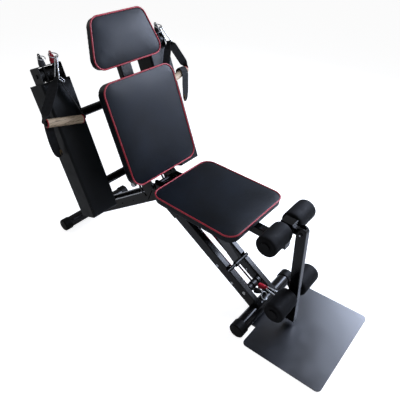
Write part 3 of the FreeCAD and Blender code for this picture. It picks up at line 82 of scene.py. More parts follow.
def hung(pivot: tuple[float, float], degrees: float, local: tuple[float, float]) -> Matrix:
    """Gives the turned place in which a pivot has known local coordinates.

    Args:
        pivot: The pivot's Y and Z in millimetres.
        degrees: Turn about X.
        local: The pivot's local Y and Z in millimetres.

    Returns:
        The matrix from local metres to the bench's frame.
    """
    turn = Matrix.Rotation(math.radians(degrees), 4, "X")
    reach = turn @ Vector((0.0, local[0] * MM, local[1] * MM))
    return Matrix.Translation((0.0, pivot[0] * MM - reach.y, pivot[1] * MM - reach.z)) @ turn


LEVEL = Matrix.Identity(4)
BACKREST = hung((158.0, 458.0), 72.8 - 90.0, (49.6, -54.2))
BENCH = hung((92.0, 459.0), 4.3, (36.2, -65.0))
# the rails run from the apex bolt down to the front tube, whose axis they pass a little above
APEX = (122.0, 432.0)
RAIL_REACH = (APEX[0] + 417.0, APEX[1] - 34.3)
RAIL_PASS = 15.0
RAIL_SLOPE = math.degrees(math.atan2(RAIL_REACH[1], RAIL_REACH[0])
                          - math.asin(RAIL_PASS / math.hypot(*RAIL_REACH)))
RAIL = tilted(APEX[0], APEX[1], RAIL_SLOPE - 90.0)
# a turn that lays a flat outline upright: its X, Y become the place's X, Z
FACING = Matrix.Rotation(math.radians(90.0), 4, "X")


# ------------------------------------------------------------------ materials
def linear(hex_colour: str) -> tuple[float, float, float, float]:
    """Turns an sRGB hex colour into the renderer's linear one."""
    parts = [int(hex_colour[i:i + 2], 16) / 255.0 for i in (0, 2, 4)]
    straight = [c / 12.92 if c <= 0.04045 else ((c + 0.055) / 1.055) ** 2.4 for c in parts]
    return (straight[0], straight[1], straight[2], 1.0)


def add_node(tree: bpy.types.NodeTree, kind: str, settings: dict[str, Any] | None = None,
             **inputs: Any) -> bpy.types.Node:
    """Adds a shader node, sets it up and links or fills its inputs.

    Args:
        tree: The material's node tree.
        kind: The node's type name without "ShaderNode".
        settings: Properties of the node.
        **inputs: Input names, with underscores for spaces, or an i and the input's number, and
            a value or an output to link.

    Returns:
        The new node.
    """
    made = tree.nodes.new("ShaderNode" + kind)
    for key, value in (settings or {}).items():
        setattr(made, key, value)
    for key, value in inputs.items():
        numbered = key[0] == "i" and key[1:].isdigit()
        socket = made.inputs[int(key[1:]) if numbered else key.replace("_", " ")]
        if isinstance(value, bpy.types.NodeSocket):
            tree.links.new(value, socket)
        else:
            socket.default_value = value
    return made


def ramp(tree: bpy.types.NodeTree, source: bpy.types.NodeSocket,
         stops: Sequence[tuple[float, Any]]) -> bpy.types.NodeSocket:
    """Maps a value through colour stops.

    Args:
        tree: The material's node tree.
        source: The value to map.
        stops: Pairs of place and colour (hex text) or grey value.

    Returns:
        The colour output.
    """
    made = add_node(tree, "ValToRGB", Fac=source)
    elements = made.color_ramp.elements
    while len(elements) < len(stops):
        elements.new(0.5)
    for element, (place, colour) in zip(elements, stops):
        element.position = place
        element.color = linear(colour) if isinstance(colour, str) else (colour, colour, colour, 1.0)
    return made.outputs["Color"]


@dataclass(frozen=True)
class Surface:
    """One material's nodes while its pattern is being added."""

    tree: bpy.types.NodeTree
    shader: bpy.types.Node
    where: bpy.types.NodeSocket
    roughness: float

    def add(self, kind: str, settings: dict[str, Any] | None = None, **inputs: Any) -> bpy.types.Node:
        """Adds a node to this material, as add_node does."""
        return add_node(self.tree, kind, settings, **inputs)

    def vary_roughness(self, source: bpy.types.NodeSocket, spread: float) -> None:
        """Spreads the roughness about its own value.

        Args:
            source: A pattern from 0 to 1.
            spread: Half the width of the spread.
        """
        mapped = self.add("MapRange", Value=source, From_Min=0.3, From_Max=0.7,
                          To_Min=max(self.roughness - spread, 0.02), To_Max=self.roughness + spread)
        self.tree.links.new(mapped.outputs["Result"], self.shader.inputs["Roughness"])

    def vary_colour(self, source: bpy.types.NodeSocket, stops: Sequence[tuple[float, Any]]) -> None:
        """Colours the surface by a pattern through colour stops."""
        self.tree.links.new(ramp(self.tree, source, stops), self.shader.inputs["Base Color"])

    def raise_by(self, height: bpy.types.NodeSocket, depth: float, strength: float = 1.0) -> None:
        """Adds relief to the surface.

        Args:
            height: A pattern from 0 to 1.
            depth: The relief's real depth in metres.
            strength: Share of the relief that shows.
        """
        bump = self.add("Bump", Height=height, Distance=depth, Strength=strength)
        self.tree.links.new(bump.outputs["Normal"], self.shader.inputs["Normal"])

    def crossed(self, size_mm: float, mirror: tuple[float, float, float], distortion: float,
                operation: str) -> bpy.types.NodeSocket:
        """Crosses two sets of diagonal waves, the second a mirror image of the first.

        Args:
            size_mm: Distance between waves.
            mirror: Scale that turns the first set into the second.
            distortion: Unevenness of the waves.
            operation: How the two sets are combined.

        Returns:
            The pattern, from 0 to 1.
        """
        waves = []
        for scale in ((1.0, 1.0, 1.0), mirror):
            turned_way = self.add("Mapping", Vector=self.where, Scale=scale).outputs[0]
            wave = self.add("TexWave", {"bands_direction": "DIAGONAL"}, Vector=turned_way,
                            Scale=scale_for(size_mm) / 20.0, Distortion=distortion)
            waves.append(wave.outputs["Fac"])
        return self.add("Math", {"operation": operation}, i0=waves[0], i1=waves[1]).outputs[0]


@dataclass(frozen=True)
class Finish:
    """A surface: what it is made of and how it was made."""

    name: str
    colour: str
    roughness: float = 0.5
    metallic: float = 0.0
    sheen: float = 0.0
    specular: float = 0.5

    def build(self) -> bpy.types.Material:
        """Gives the material, made once."""
        found = bpy.data.materials.get(self.name)
        if found:
            return found
        material = bpy.data.materials.new(self.name)
        material.use_nodes = True
        tree = material.node_tree
        shader = tree.nodes["Principled BSDF"]
        shader.inputs["Base Color"].default_value = linear(self.colour)
        shader.inputs["Roughness"].default_value = self.roughness
        shader.inputs["Metallic"].default_value = self.metallic
        shader.inputs["Sheen Weight"].default_value = self.sheen
        shader.inputs["Specular IOR Level"].default_value = self.specular
        where = add_node(tree, "TexCoord").outputs["Object"]
        self.pattern(Surface(tree, shader, where, self.roughness))
        return material

    def pattern(self, on: Surface) -> None:
        """Adds this finish's pattern; a plain finish gets faint handling marks."""
        marks = on.add("TexNoise", Vector=on.where, Scale=18.0, Detail=4.0)
        on.vary_roughness(marks.outputs["Fac"], 0.06)


def scale_for(size_mm: float) -> float:
    """Texture scale at which one feature of a pattern has the given size."""
    return 1000.0 / size_mm


@dataclass(frozen=True)
class PowderCoat(Finish):
    """Sprayed and baked powder paint: faint orange peel and slightly uneven gloss."""

    peel_mm: float = 2.6
    peel_deep: float = 0.00012

    def pattern(self, on: Surface) -> None:
        """Orange peel of the baked paint and slightly uneven gloss."""
        peel = on.add("TexNoise", Vector=on.where, Scale=scale_for(self.peel_mm), Detail=2.0,
                      Roughness=0.45)
        haze = on.add("TexNoise", Vector=on.where, Scale=scale_for(90.0), Detail=5.0)
        on.vary_roughness(haze.outputs["Fac"], 0.05)
        on.raise_by(peel.outputs["Fac"], self.peel_deep, 0.55)


@dataclass(frozen=True)
class FauxLeather(Finish):
    """Embossed polyurethane leathercloth: pebbled grain with soft patches of painted blue-grey sheen.

    The pebbles are drawn 1.7 mm across, coarser than the real 1 mm, so that they show.
    """

    grain_mm: float = 1.7
    # the lighter colour of the broad patches is painted blue-grey sheen
    light: str = "3d434e"

    def pattern(self, on: Surface) -> None:
        """Pebble grain with broad, gentle patches of painted blue-grey sheen, laid at random."""
        cells = on.add("TexVoronoi", {"feature": "SMOOTH_F1"}, Vector=on.where,
                       Scale=scale_for(self.grain_mm), Smoothness=0.6)
        broad = on.add("TexNoise", Vector=on.where, Scale=scale_for(160.0), Detail=3.0)
        fine = on.add("TexNoise", Vector=on.where, Scale=scale_for(9.0), Detail=6.0)
        painted_sheen_patches = on.add("Math", {"operation": "MULTIPLY_ADD"}, i0=fine.outputs["Fac"],
                       i1=0.25, i2=broad.outputs["Fac"])
        # painted sheen: random broad patches shift the base colour towards the lighter blue-grey
        on.vary_colour(painted_sheen_patches.outputs[0], [(0.42, self.colour), (0.86, self.light)])
        on.vary_roughness(broad.outputs["Fac"], 0.06)
        on.raise_by(cells.outputs["Distance"], 0.0003, 0.5)


@dataclass(frozen=True)
class FoamRubber(Finish):
    """Closed-cell foam tube with a skin: fine pits and dull, slightly dusty surface."""

    cell_mm: float = 1.6

    def pattern(self, on: Surface) -> None:
        """Pits of burst cells over slow unevenness."""
        pits = on.add("TexVoronoi", Vector=on.where, Scale=scale_for(self.cell_mm))
        uneven = on.add("TexNoise", Vector=on.where, Scale=scale_for(24.0), Detail=4.0)
        both = on.add("Math", {"operation": "MULTIPLY_ADD"}, i0=pits.outputs["Distance"],
                      i1=0.35, i2=uneven.outputs["Fac"])
        on.vary_colour(uneven.outputs["Fac"], [(0.3, self.colour), (0.75, "141416")])
        on.vary_roughness(uneven.outputs["Fac"], 0.08)
        on.raise_by(both.outputs[0], 0.0006, 0.6)


@dataclass(frozen=True)
class MouldedPlastic(Finish):
    """Spark-eroded mould texture on injection-moulded plastic: even fine grain.

    The grain is drawn about 1 mm across, coarser than the real 0.3 mm, so that it shows.
    """

    grain_mm: float = 1.1
    depth_mm: float = 0.1

    def pattern(self, on: Surface) -> None:
        """Fine even grain and faint scuffs."""
        grain = on.add("TexNoise", Vector=on.where, Scale=scale_for(self.grain_mm), Detail=2.0)
        scuffs = on.add("TexNoise", Vector=on.where, Scale=scale_for(60.0), Detail=8.0,
                        Distortion=0.6)
        on.vary_roughness(scuffs.outputs["Fac"], 0.07)
        on.raise_by(grain.outputs["Fac"], self.depth_mm * MM, 0.5)


@dataclass(frozen=True)
class PlatedSteel(Finish):
    """Zinc or nickel plate over turned steel: turning lines and cloudy gloss.

    The lines are drawn 0.5 mm apart, coarser than the real 0.1 mm, so that they show.
    """

    line_mm: float = 0.5

    def pattern(self, on: Surface) -> None:
        """Lines left by turning across X, and clouds in the plating."""
        lines = on.add("TexNoise", {"noise_dimensions": "3D"},
                       Vector=on.add("Mapping", Vector=on.where, Scale=(6.0, 1.0, 1.0)).outputs[0],
                       Scale=scale_for(self.line_mm * 6.0), Detail=2.0)
        clouds = on.add("TexNoise", Vector=on.where, Scale=scale_for(14.0), Detail=4.0)
        on.vary_roughness(clouds.outputs["Fac"], 0.08)
        on.raise_by(lines.outputs["Fac"], 0.00006, 0.4)


@dataclass(frozen=True)
class Webbing(Finish):
    """Woven polyester webbing: diagonal ribs 2.2 mm apart, drawn coarser than the real 1.2 mm."""

    rib_mm: float = 2.2

    def pattern(self, on: Surface) -> None:
        """Crossed ribs of the weave."""
        weave = on.crossed(self.rib_mm, (-1.0, 1.0, 1.0), 0.4, "MAXIMUM")
        on.vary_colour(weave, [(0.2, "08080a"), (0.9, self.colour)])
        on.raise_by(weave, 0.0004, 0.8)


@dataclass(frozen=True)
class BraidedCord(Finish):
    """Elastic cord in a braided polyester sleeve: crossed strands 3 mm apart."""

    strand_mm: float = 3.0
    dark: str = "120305"

    def pattern(self, on: Surface) -> None:
        """Crossed strands of the sleeve."""
        strands = on.crossed(self.strand_mm, (1.0, -1.0, 1.0), 0.8, "MULTIPLY")
        on.vary_colour(strands, [(0.05, self.dark), (0.7, self.colour)])
        on.raise_by(strands, 0.0005, 0.8)


@dataclass(frozen=True)
class WoodGrainFoam(Finish):
    """Foam grip printed with an ash-like grain: beige with darker streaks along its length."""

    streak_mm: float = 5.0

    def pattern(self, on: Surface) -> None:
        """Long streaks along X, short across."""
        stretched = on.add("Mapping", Vector=on.where, Scale=(0.09, 1.0, 1.0))
        streaks = on.add("TexNoise", Vector=stretched.outputs[0],
                         Scale=scale_for(self.streak_mm), Detail=5.0, Distortion=0.9)
        pores = on.add("TexNoise", Vector=on.where, Scale=scale_for(1.2), Detail=2.0)
        on.vary_colour(streaks.outputs["Fac"],
                       [(0.32, "6f5d4c"), (0.5, self.colour), (0.7, "c9b297")])
        on.raise_by(pores.outputs["Fac"], 0.0003, 0.5)


@dataclass(frozen=True)
class PaintedBoard(Finish):
    """Pressed board under black paint: long faint fibres."""

    def pattern(self, on: Surface) -> None:
        """Fibres that show through the paint."""
        stretched = on.add("Mapping", Vector=on.where, Scale=(0.2, 1.0, 1.0))
        fibres = on.add("TexNoise", Vector=stretched.outputs[0], Scale=scale_for(4.0), Detail=6.0)
        on.vary_colour(fibres.outputs["Fac"], [(0.3, self.colour), (0.7, "171615")])
        on.raise_by(fibres.outputs["Fac"], 0.0003, 0.6)


# The finishes of this bench
GLOSS_BLACK = PowderCoat("gloss_black_powder_coat", "050506", roughness=0.2, specular=0.3)
SATIN_BLACK = PowderCoat("satin_black_powder_coat", "070b14", roughness=0.33, specular=0.95,
                         peel_mm=5.0, peel_deep=0.00002)
TOWER_ABS = MouldedPlastic("textured_black_abs", "0b0e11", roughness=0.46, specular=0.24)
GLAND_NYLON = MouldedPlastic("moulded_black_nylon", "08080a", roughness=0.38, grain_mm=1.6,
                             specular=0.35)
GREY_NYLON = MouldedPlastic("moulded_grey_nylon", "2e2f33", roughness=0.42, grain_mm=1.6,
                            specular=0.35)
RED_NYLON = MouldedPlastic("moulded_red_nylon", "b4122a", roughness=0.4, grain_mm=1.6, depth_mm=0.06)
CAP_RUBBER = MouldedPlastic("ribbed_black_rubber", "040404", roughness=0.5, grain_mm=2.0, specular=0.12)
# each light= colour below is the painted sheen of that finish's random lighter patches
LEATHER = FauxLeather("embossed_pu_leathercloth", "060a0f", roughness=0.44, specular=0.2,
                      light="0f161f")
PAD_SIDE = FauxLeather("plain_pu_side_band", "050506", roughness=0.46, specular=0.16,
                       light="0a0a0c")
PIPING = FauxLeather("red_vinyl_piping", "9c1626", roughness=0.4, grain_mm=1.2, light="b92c3b")
FOAM = FoamRubber("skinned_black_foam", "070708", roughness=0.66, specular=0.12)
ZINC = PlatedSteel("bright_zinc_plate", "d6d8da", roughness=0.28, metallic=1.0)
BLACK_OXIDE = PlatedSteel("blackened_steel", "1b1b1d", roughness=0.38, metallic=0.6)
WEB = Webbing("black_polyester_webbing", "131315", roughness=0.72, sheen=0.08, specular=0.25)
CUFF_WEB = Webbing("padded_cuff_webbing", "101012", roughness=0.74, sheen=0.08, specular=0.25,
                   rib_mm=3.2)
RED_CORD = BraidedCord("red_braided_elastic", "7d101e", roughness=0.62, specular=0.3)
BLACK_CORD = BraidedCord("black_braided_elastic", "19191b", roughness=0.62, dark="060607", specular=0.3)
GRIP_WOOD = WoodGrainFoam("wood_grain_foam", "cdb697", roughness=0.6, specular=0.3)
TAN_LOOP = Webbing("tan_pull_loop", "8a7350", roughness=0.75, specular=0.25)
BOARD = PaintedBoard("black_painted_board", "0d0c0b", roughness=0.6, specular=0.3)


# ------------------------------------------------------------------ pieces
def into_object(name: str, shape: bmesh.types.BMesh, place: Matrix,
                finishes: Sequence[Finish]) -> bpy.types.Object:
    """Makes an object at the origin with its place in its mesh.

    Args:
        name: The piece's name.
        shape: Its geometry in local metres; it is freed.
        place: From local metres to the bench's frame.
        finishes: Its finishes, in the order of the faces' material numbers.

    Returns:
        The object, smooth where its faces meet at less than 40 degrees.
    """
    bmesh.ops.transform(shape, matrix=place, verts=shape.verts)
    mesh = bpy.data.meshes.new(name)
    shape.to_mesh(mesh)
    shape.free()
    for finish in finishes:
        mesh.materials.append(finish.build())
    made = bpy.data.objects.new(name, mesh)
    bpy.context.scene.collection.objects.link(made)
    soften(made)
    return made


def soften(piece: bpy.types.Object, degrees: float = 40.0) -> None:
    """Shades a piece smooth and keeps its edges sharper than an angle."""
    mesh = piece.data
    mesh.shade_smooth()
    mesh.set_sharp_from_angle(angle=math.radians(degrees))


def outward(shape: bmesh.types.BMesh) -> None:
    """Merges doubled vertices and turns every face outwards."""
    bmesh.ops.remove_doubles(shape, verts=shape.verts, dist=1e-6)
    bmesh.ops.recalc_face_normals(shape, faces=shape.faces)


def turned(profile: Sequence[tuple[float, float]], steps: int) -> bmesh.types.BMesh:
    """Spins a half outline about local Z.

    Args:
        profile: Points of radius and height in millimetres, from one end to the other.
        steps: Number of steps round.

    Returns:
        The closed shape in metres.
    """
    shape = bmesh.new()
    points = [shape.verts.new((r * MM, 0.0, h * MM)) for r, h in profile]
    for a, b in zip(points, points[1:]):
        shape.edges.new((a, b))
    bmesh.ops.spin(shape, geom=shape.verts[:] + shape.edges[:], cent=(0, 0, 0), axis=(0, 0, 1),
                   angle=math.tau, steps=steps, use_merge=True)
    outward(shape)
    return shape


def aimed(centre: Vector, axis: Vector) -> Matrix:
    """Gives the place whose local Z points along an axis."""
    turn = Vector((0, 0, 1)).rotation_difference(axis)
    return Matrix.Translation(centre) @ turn.to_matrix().to_4x4()


def rounded(corners: Outline, radius: float) -> bmesh.types.BMesh:
    """Gives one face with round corners.

    Args:
        corners: Corner points in millimetres, counter-clockwise.
        radius: Radius of every corner.

    Returns:
        The flat shape in metres.
    """
    shape = bmesh.new()
    points = [shape.verts.new((x * MM, y * MM, 0.0)) for x, y in corners]
    shape.faces.new(points)
    for i, point in enumerate(list(points)):
        before = Vector(corners[i - 1]) - Vector(corners[i])
        after = Vector(corners[(i + 1) % len(corners)]) - Vector(corners[i])
        half = before.angle(after) / 2.0
        bmesh.ops.bevel(shape, geom=[point], offset=radius * MM / math.tan(half),
                        segments=CORNER_STEPS, profile=0.5, affect="VERTICES", material=-1)
    return shape


def outline_of(shape: bmesh.types.BMesh) -> list[Vector]:
    """Gives the corner points of a one-face shape in order, and frees it."""
    points = [loop.vert.co.copy() for loop in shape.faces[:][0].loops]
    shape.free()
    return points


def thick(shape: bmesh.types.BMesh, depth: float) -> bmesh.types.BMesh:
    """Extrudes a flat face along local Z by a depth in millimetres and closes it."""
    made = bmesh.ops.extrude_face_region(shape, geom=shape.faces[:])
    moved = [item for item in made["geom"] if isinstance(item, bmesh.types.BMVert)]
    bmesh.ops.translate(shape, verts=moved, vec=(0.0, 0.0, depth * MM))
    outward(shape)
    return shape


def wire(name: str, points: Sequence[Vector], radius: float, place: Matrix,
         finish: Finish) -> bpy.types.Object:
    """Makes a closed loop of round bar or bead along points.

    Args:
        name: The piece's name.
        points: The centre line in local metres.
        radius: Radius in millimetres.
        place: From local metres to the bench's frame.
        finish: Its finish.

    Returns:
        The piece as a mesh.
    """
    curve = bpy.data.curves.new(name + "_line", "CURVE")
    curve.dimensions = "3D"
    curve.bevel_depth = radius * MM
    curve.bevel_resolution = 5
    spline = curve.splines.new("POLY")
    spline.points.add(len(points) - 1)
    for point, co in zip(spline.points, points):
        point.co = (co.x, co.y, co.z, 1.0)
    spline.use_cyclic_u = True
    holder = bpy.data.objects.new(name + "_line", curve)
    bpy.context.scene.collection.objects.link(holder)
    bpy.context.view_layer.update()
    graph = bpy.context.evaluated_depsgraph_get()
    mesh = bpy.data.meshes.new_from_object(holder.evaluated_get(graph))
    bpy.data.objects.remove(holder)
    bpy.data.curves.remove(curve)
    mesh.name = name
    shape = bmesh.new()
    shape.from_mesh(mesh)
    bpy.data.meshes.remove(mesh)
    outward(shape)
    return into_object(name, shape, place, [finish])


def settle(piece: bpy.types.Object, body: str, slot: str, *nodes: str) -> None:
    """Puts a piece on its body and hides the CAD nodes it stands for.

    Args:
        piece: The finished piece.
        body: The body that it moves with.
        slot: Its material slot; not used.
        *nodes: CAD nodes that it replaces.
    """
    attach(piece, body)
    if nodes:
        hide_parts(*nodes)
    LOG.info("%s rides on %s", piece.name, body)


# ------------------------------------------------------------------ cushions
@dataclass
class Cushion:
    """An upholstered pad: leathercloth face, plain side band, red piping round the face.

    The local frame has X to the right, Y up the pad and Z out of its face; zero is the piping.
    """

    name: str
    body: str
    node: str
    place: Matrix
    corners: Outline
    corner: float
    face: float = 0.0
    back: float = -50.0
    voxel: float = 5.0
    cap: float = 9.0
    piping: float = 3.2
    overlap: float = 0.6
    foam_steps: tuple[tuple[float, float], ...] = ((22.0, 3.5), (50.0, 2.0))
    pressure: float = 4.0
    stretch: float = 12.0
    bending: float = 0.8
    frames: int = 20

    def rim(self, shift: float = 0.0) -> list[Vector]:
        """Gives the round outline at the piping, moved outwards by a distance in millimetres."""
        points = outline_of(rounded(self.corners, self.corner))
        centre = sum(points, Vector()) / len(points)
        moved = []
        for before, point, after in zip(points[-1:] + points[:-1], points, points[1:] + points[:1]):
            along = (after - before).normalized()
            out = Vector((along.y, -along.x, 0.0))
            if out.dot(point - centre) < 0:
                out.negate()
            moved.append(point + out * shift * MM + Vector((0, 0, self.face * MM)))
        return moved

    def blank(self) -> bpy.types.Object:
        """Gives the unsewn pad: a slab a little smaller than the finished one."""
        shape = rounded(self.corners, self.corner)
        bmesh.ops.translate(shape, verts=shape.verts, vec=(0, 0, (self.back + self.overlap) * MM))
        thick(shape, self.face - self.back - self.overlap)
        sloping = []
        for inset, rise in self.foam_steps:
            top = [f for f in shape.faces if f.normal.z > 0.9 and f not in sloping]
            made = bmesh.ops.inset_region(shape, faces=top, thickness=inset * MM, depth=rise * MM,
                                          use_even_offset=True)
            sloping = made["faces"]
        return into_object(self.name, shape, LEVEL, [LEATHER, PAD_SIDE])

    def remesh(self, piece: bpy.types.Object) -> None:
        """Divides the pad evenly into small faces."""
        grid = piece.modifiers.new("even", "REMESH")
        grid.mode = "VOXEL"
        grid.voxel_size = self.voxel * MM
        apply_modifiers(piece)

    def held(self, co: Vector) -> float:
        """Tells how firmly a point is held by the seam or the board, from 0 to 1."""
        if co.z < (self.back + 4.0) * MM:
            return 1.0
        return 1.0 if abs(co.z - self.face * MM) < 0.0016 else 0.0

    def inflate(self, piece: bpy.types.Object) -> None:
        """Blows the cover up against its seams as cloth, with every point's travel capped."""
        rest = [v.co.copy() for v in piece.data.vertices]
        group = piece.vertex_groups.new(name="sewn")
        for vertex in piece.data.vertices:
            weight = self.held(vertex.co)
            if weight:
                group.add([vertex.index], weight, "REPLACE")
        cloth = piece.modifiers.new("cloth", "CLOTH")
        cloth.settings.vertex_group_mass = "sewn"
        cloth.settings.use_pressure = True
        cloth.settings.uniform_pressure_force = self.pressure
        cloth.settings.effector_weights.gravity = 0.0
        cloth.settings.quality = 5
        cloth.settings.tension_stiffness = self.stretch
        cloth.settings.compression_stiffness = self.stretch
        cloth.settings.bending_stiffness = self.bending
        cloth.point_cache.frame_start = 1
        cloth.point_cache.frame_end = self.frames
        scene = bpy.context.scene
        for number in range(1, self.frames + 1):
            scene.frame_set(number)
        graph = bpy.context.evaluated_depsgraph_get()
        moved = [v.co.copy() for v in piece.evaluated_get(graph).data.vertices]
        piece.modifiers.remove(cloth)
        scene.frame_set(1)
        for vertex, start, end in zip(piece.data.vertices, rest, moved):
            travel = end - start
            limit = self.cap * MM
            if travel.length > limit:
                travel *= limit / travel.length
            vertex.co = start + travel
        piece.vertex_groups.clear()

    def dome(self, piece: bpy.types.Object) -> None:
        """Raises the face without a simulation, for trial runs."""
        reach = max(abs(x) for x, _ in self.corners) * MM
        for vertex in piece.data.vertices:
            if vertex.co.z > self.face * MM:
                share = max(0.0, 1.0 - (vertex.co.x / reach) ** 2)
                vertex.co.z += 0.003 * share

    def dress(self, piece: bpy.types.Object) -> None:
        """Gives the face its leathercloth and the walls their plain band."""
        for polygon in piece.data.polygons:
            polygon.material_index = 0 if polygon.center.z > (self.face + 0.2) * MM else 1

    def make(self) -> None:
        """Builds the pad and its piping and sets them on their body."""
        piece = self.blank()
        self.remesh(piece)
        self.inflate(piece)
        even = piece.modifiers.new("fine", "SUBSURF")
        even.levels = even.render_levels = 1
        apply_modifiers(piece)
        self.dress(piece)
        piece.data.transform(self.place)
        piece.data.materials.clear()
        for finish in (LEATHER, PAD_SIDE):
            piece.data.materials.append(finish.build())
        piece.data.shade_smooth()
        settle(piece, self.body, "pad", self.node)
        bead = wire(self.name + "_piping", self.rim(0.6), self.piping, self.place, PIPING)
        settle(bead, self.body, "pad")


def apply_modifiers(piece: bpy.types.Object) -> None:
    """Bakes a piece's modifiers into its mesh and keeps its face numbers."""
    bpy.context.view_layer.update()
    graph = bpy.context.evaluated_depsgraph_get()
    mesh = bpy.data.meshes.new_from_object(piece.evaluated_get(graph))
    piece.modifiers.clear()
    old = piece.data
    piece.data = mesh
    bpy.data.meshes.remove(old)
    mesh.name = piece.name


# ------------------------------------------------------------------ rollers and grips
@dataclass
class FoamRoller:
    """A foam tube on a steel shaft, with soft rounded ends."""

    level: str
    side: Side
    centre: tuple[float, float]
    inner: float = 30.0
    length: float = 122.0
    radius: float = 44.0
    bore: float = 9.05

    def make(self) -> None:
        """Builds the roller and sets it on its body."""
        r, long = self.radius, self.length
        near = [(self.bore, 1.2), (self.bore + 3, 0.3), (r - 9, 0.0), (r - 4.5, 1.0), (r - 1.6, 3.6),
                (r - 0.4, 8.0), (r, 20.0)]
        far = [(across, long - along) for across, along in reversed(near)]
        shape = turned(near + [(r, long / 2)] + far + near[:1], 72)
        axis = Vector((self.side, 0, 0))
        start = Vector((self.side * self.inner * MM, self.centre[0] * MM, self.centre[1] * MM))
        body = f"{self.level}_roller_{self.side.word}"
        piece = into_object(body + "_foam", shape, aimed(start, axis), [FOAM])
        settle(piece, body, "foam", body)


@dataclass
class HandGrip:
    """A foam tube printed like wood, with red end rings and a black liner in its bore."""

    side: Side
    inner: tuple[float, float] = (244.0, 331.0)
    outer: tuple[float, float] = (405.0, 366.0)
    depth: float = 126.0
    length: float = 160.0
    radius: float = 17.0
    bore: float = 13.0
    cap: float = 4.0

    def place(self) -> tuple[Vector, Vector]:
        """Gives the middle and the direction of the grip, in the bench's frame."""
        a = BACKREST @ (Vector((self.side * self.inner[0], self.depth, self.inner[1])) * MM)
        b = BACKREST @ (Vector((self.side * self.outer[0], self.depth, self.outer[1])) * MM)
        return (a + b) / 2.0, (b - a).normalized()

    def make(self) -> None:
        """Builds the foam, the red end rings and the black liners of the bore."""
        middle, axis = self.place()
        half = self.length / 2.0
        r = self.radius
        inner = half - self.cap
        word = self.side.word
        body = "grip_" + word
        foam = turned([(self.bore, -inner), (r - 0.8, -inner), (r - 0.2, -inner + 2.4),
                       (r - 0.2, inner - 2.4), (r - 0.8, inner), (self.bore, inner),
                       (self.bore, -inner)], 40)
        piece = into_object(f"grip_foam_{word}", foam, aimed(middle, axis), [GRIP_WOOD])
        settle(piece, body, "grip", "grip_" + word)
        for end in (-1, 1):
            name = "outer" if end > 0 else "inner"
            ring = turned([(self.bore + 1.2, inner), (r - 0.5, inner), (r, inner + 0.8),
                           (r, half - 1.6), (r - 0.9, half - 0.4), (r - 2.2, half),
                           (self.bore + 1.2, half), (self.bore + 1.2, inner)], 40)
            piece = into_object(f"grip_edge_{name}_{word}", ring, aimed(middle, axis * end),
                                [RED_NYLON])
            settle(piece, body, "stopper")
            liner = turned([(self.bore - 2.0, inner - 6.0), (self.bore + 1.1, inner - 6.0),
                            (self.bore + 1.1, half + 0.2), (self.bore - 0.6, half + 0.2),
                            (self.bore - 2.0, half - 1.0), (self.bore - 2.0, inner - 6.0)], 40)
            piece = into_object(f"grip_liner_{name}_{word}", liner, aimed(middle, axis * end),
                                [GLAND_NYLON])
            settle(piece, body, "plastic")


# ------------------------------------------------------------------ straps
@dataclass
class Station:
    """One place along a ribbon: its middle, the way across it and its width, in millimetres."""

    middle: Vector
    across: Vector
    width: float


def ribbon(name: str, stations: Sequence[Station], place: Matrix, finish: Finish,
           thickness: float = 2.4, closed: bool = False) -> bpy.types.Object:
    """Sweeps a flat woven strip with rounded edges through its stations.

    Args:
        name: The piece's name.
        stations: Places along the strip.
        place: From local metres to the bench's frame.
        finish: Its finish.
        thickness: Thickness in millimetres.
        closed: Whether the strip joins up with its own start.

    Returns:
        The piece.
    """
    def section(i: int) -> list[Vector]:
        """Gives the six corners of the strip's section at one station."""
        at = stations[i]
        ahead = stations[(i + 1) % len(stations)] if closed or i + 1 < len(stations) else at
        behind = stations[i - 1] if closed or i else at
        way = (ahead.middle - behind.middle).normalized()
        across = (at.across - way * at.across.dot(way)).normalized()
        face = way.cross(across)
        half, deep = at.width / 2, thickness / 2
        edge = half - deep * 0.6
        corners = ((-half, 0.0), (-edge, deep), (edge, deep), (half, 0.0), (edge, -deep),
                   (-edge, -deep))
        return [(at.middle + across * a + face * b) * MM for a, b in corners]

    shape = bmesh.new()
    first = last = shape.faces.new([shape.verts.new(corner) for corner in section(0)])
    for i in range(1, len(stations)):
        made = bmesh.ops.extrude_face_region(shape, geom=[last])
        last = next(item for item in made["geom"] if isinstance(item, bmesh.types.BMFace))
        for vertex, corner in zip(last.verts, section(i)):
            vertex.co = corner
    if closed:
        edges = first.edges[:] + last.edges[:]
        bmesh.ops.delete(shape, geom=[first, last], context="FACES_ONLY")
        bmesh.ops.bridge_loops(shape, edges=edges)
    outward(shape)
    return into_object(name, shape, place, [finish])


def eased(share: float) -> float:
    """Gives a smooth rise from 0 at share 0 to 1 at share 1."""
    share = min(1.0, max(0.0, share))
    return share * share * (3.0 - 2.0 * share)


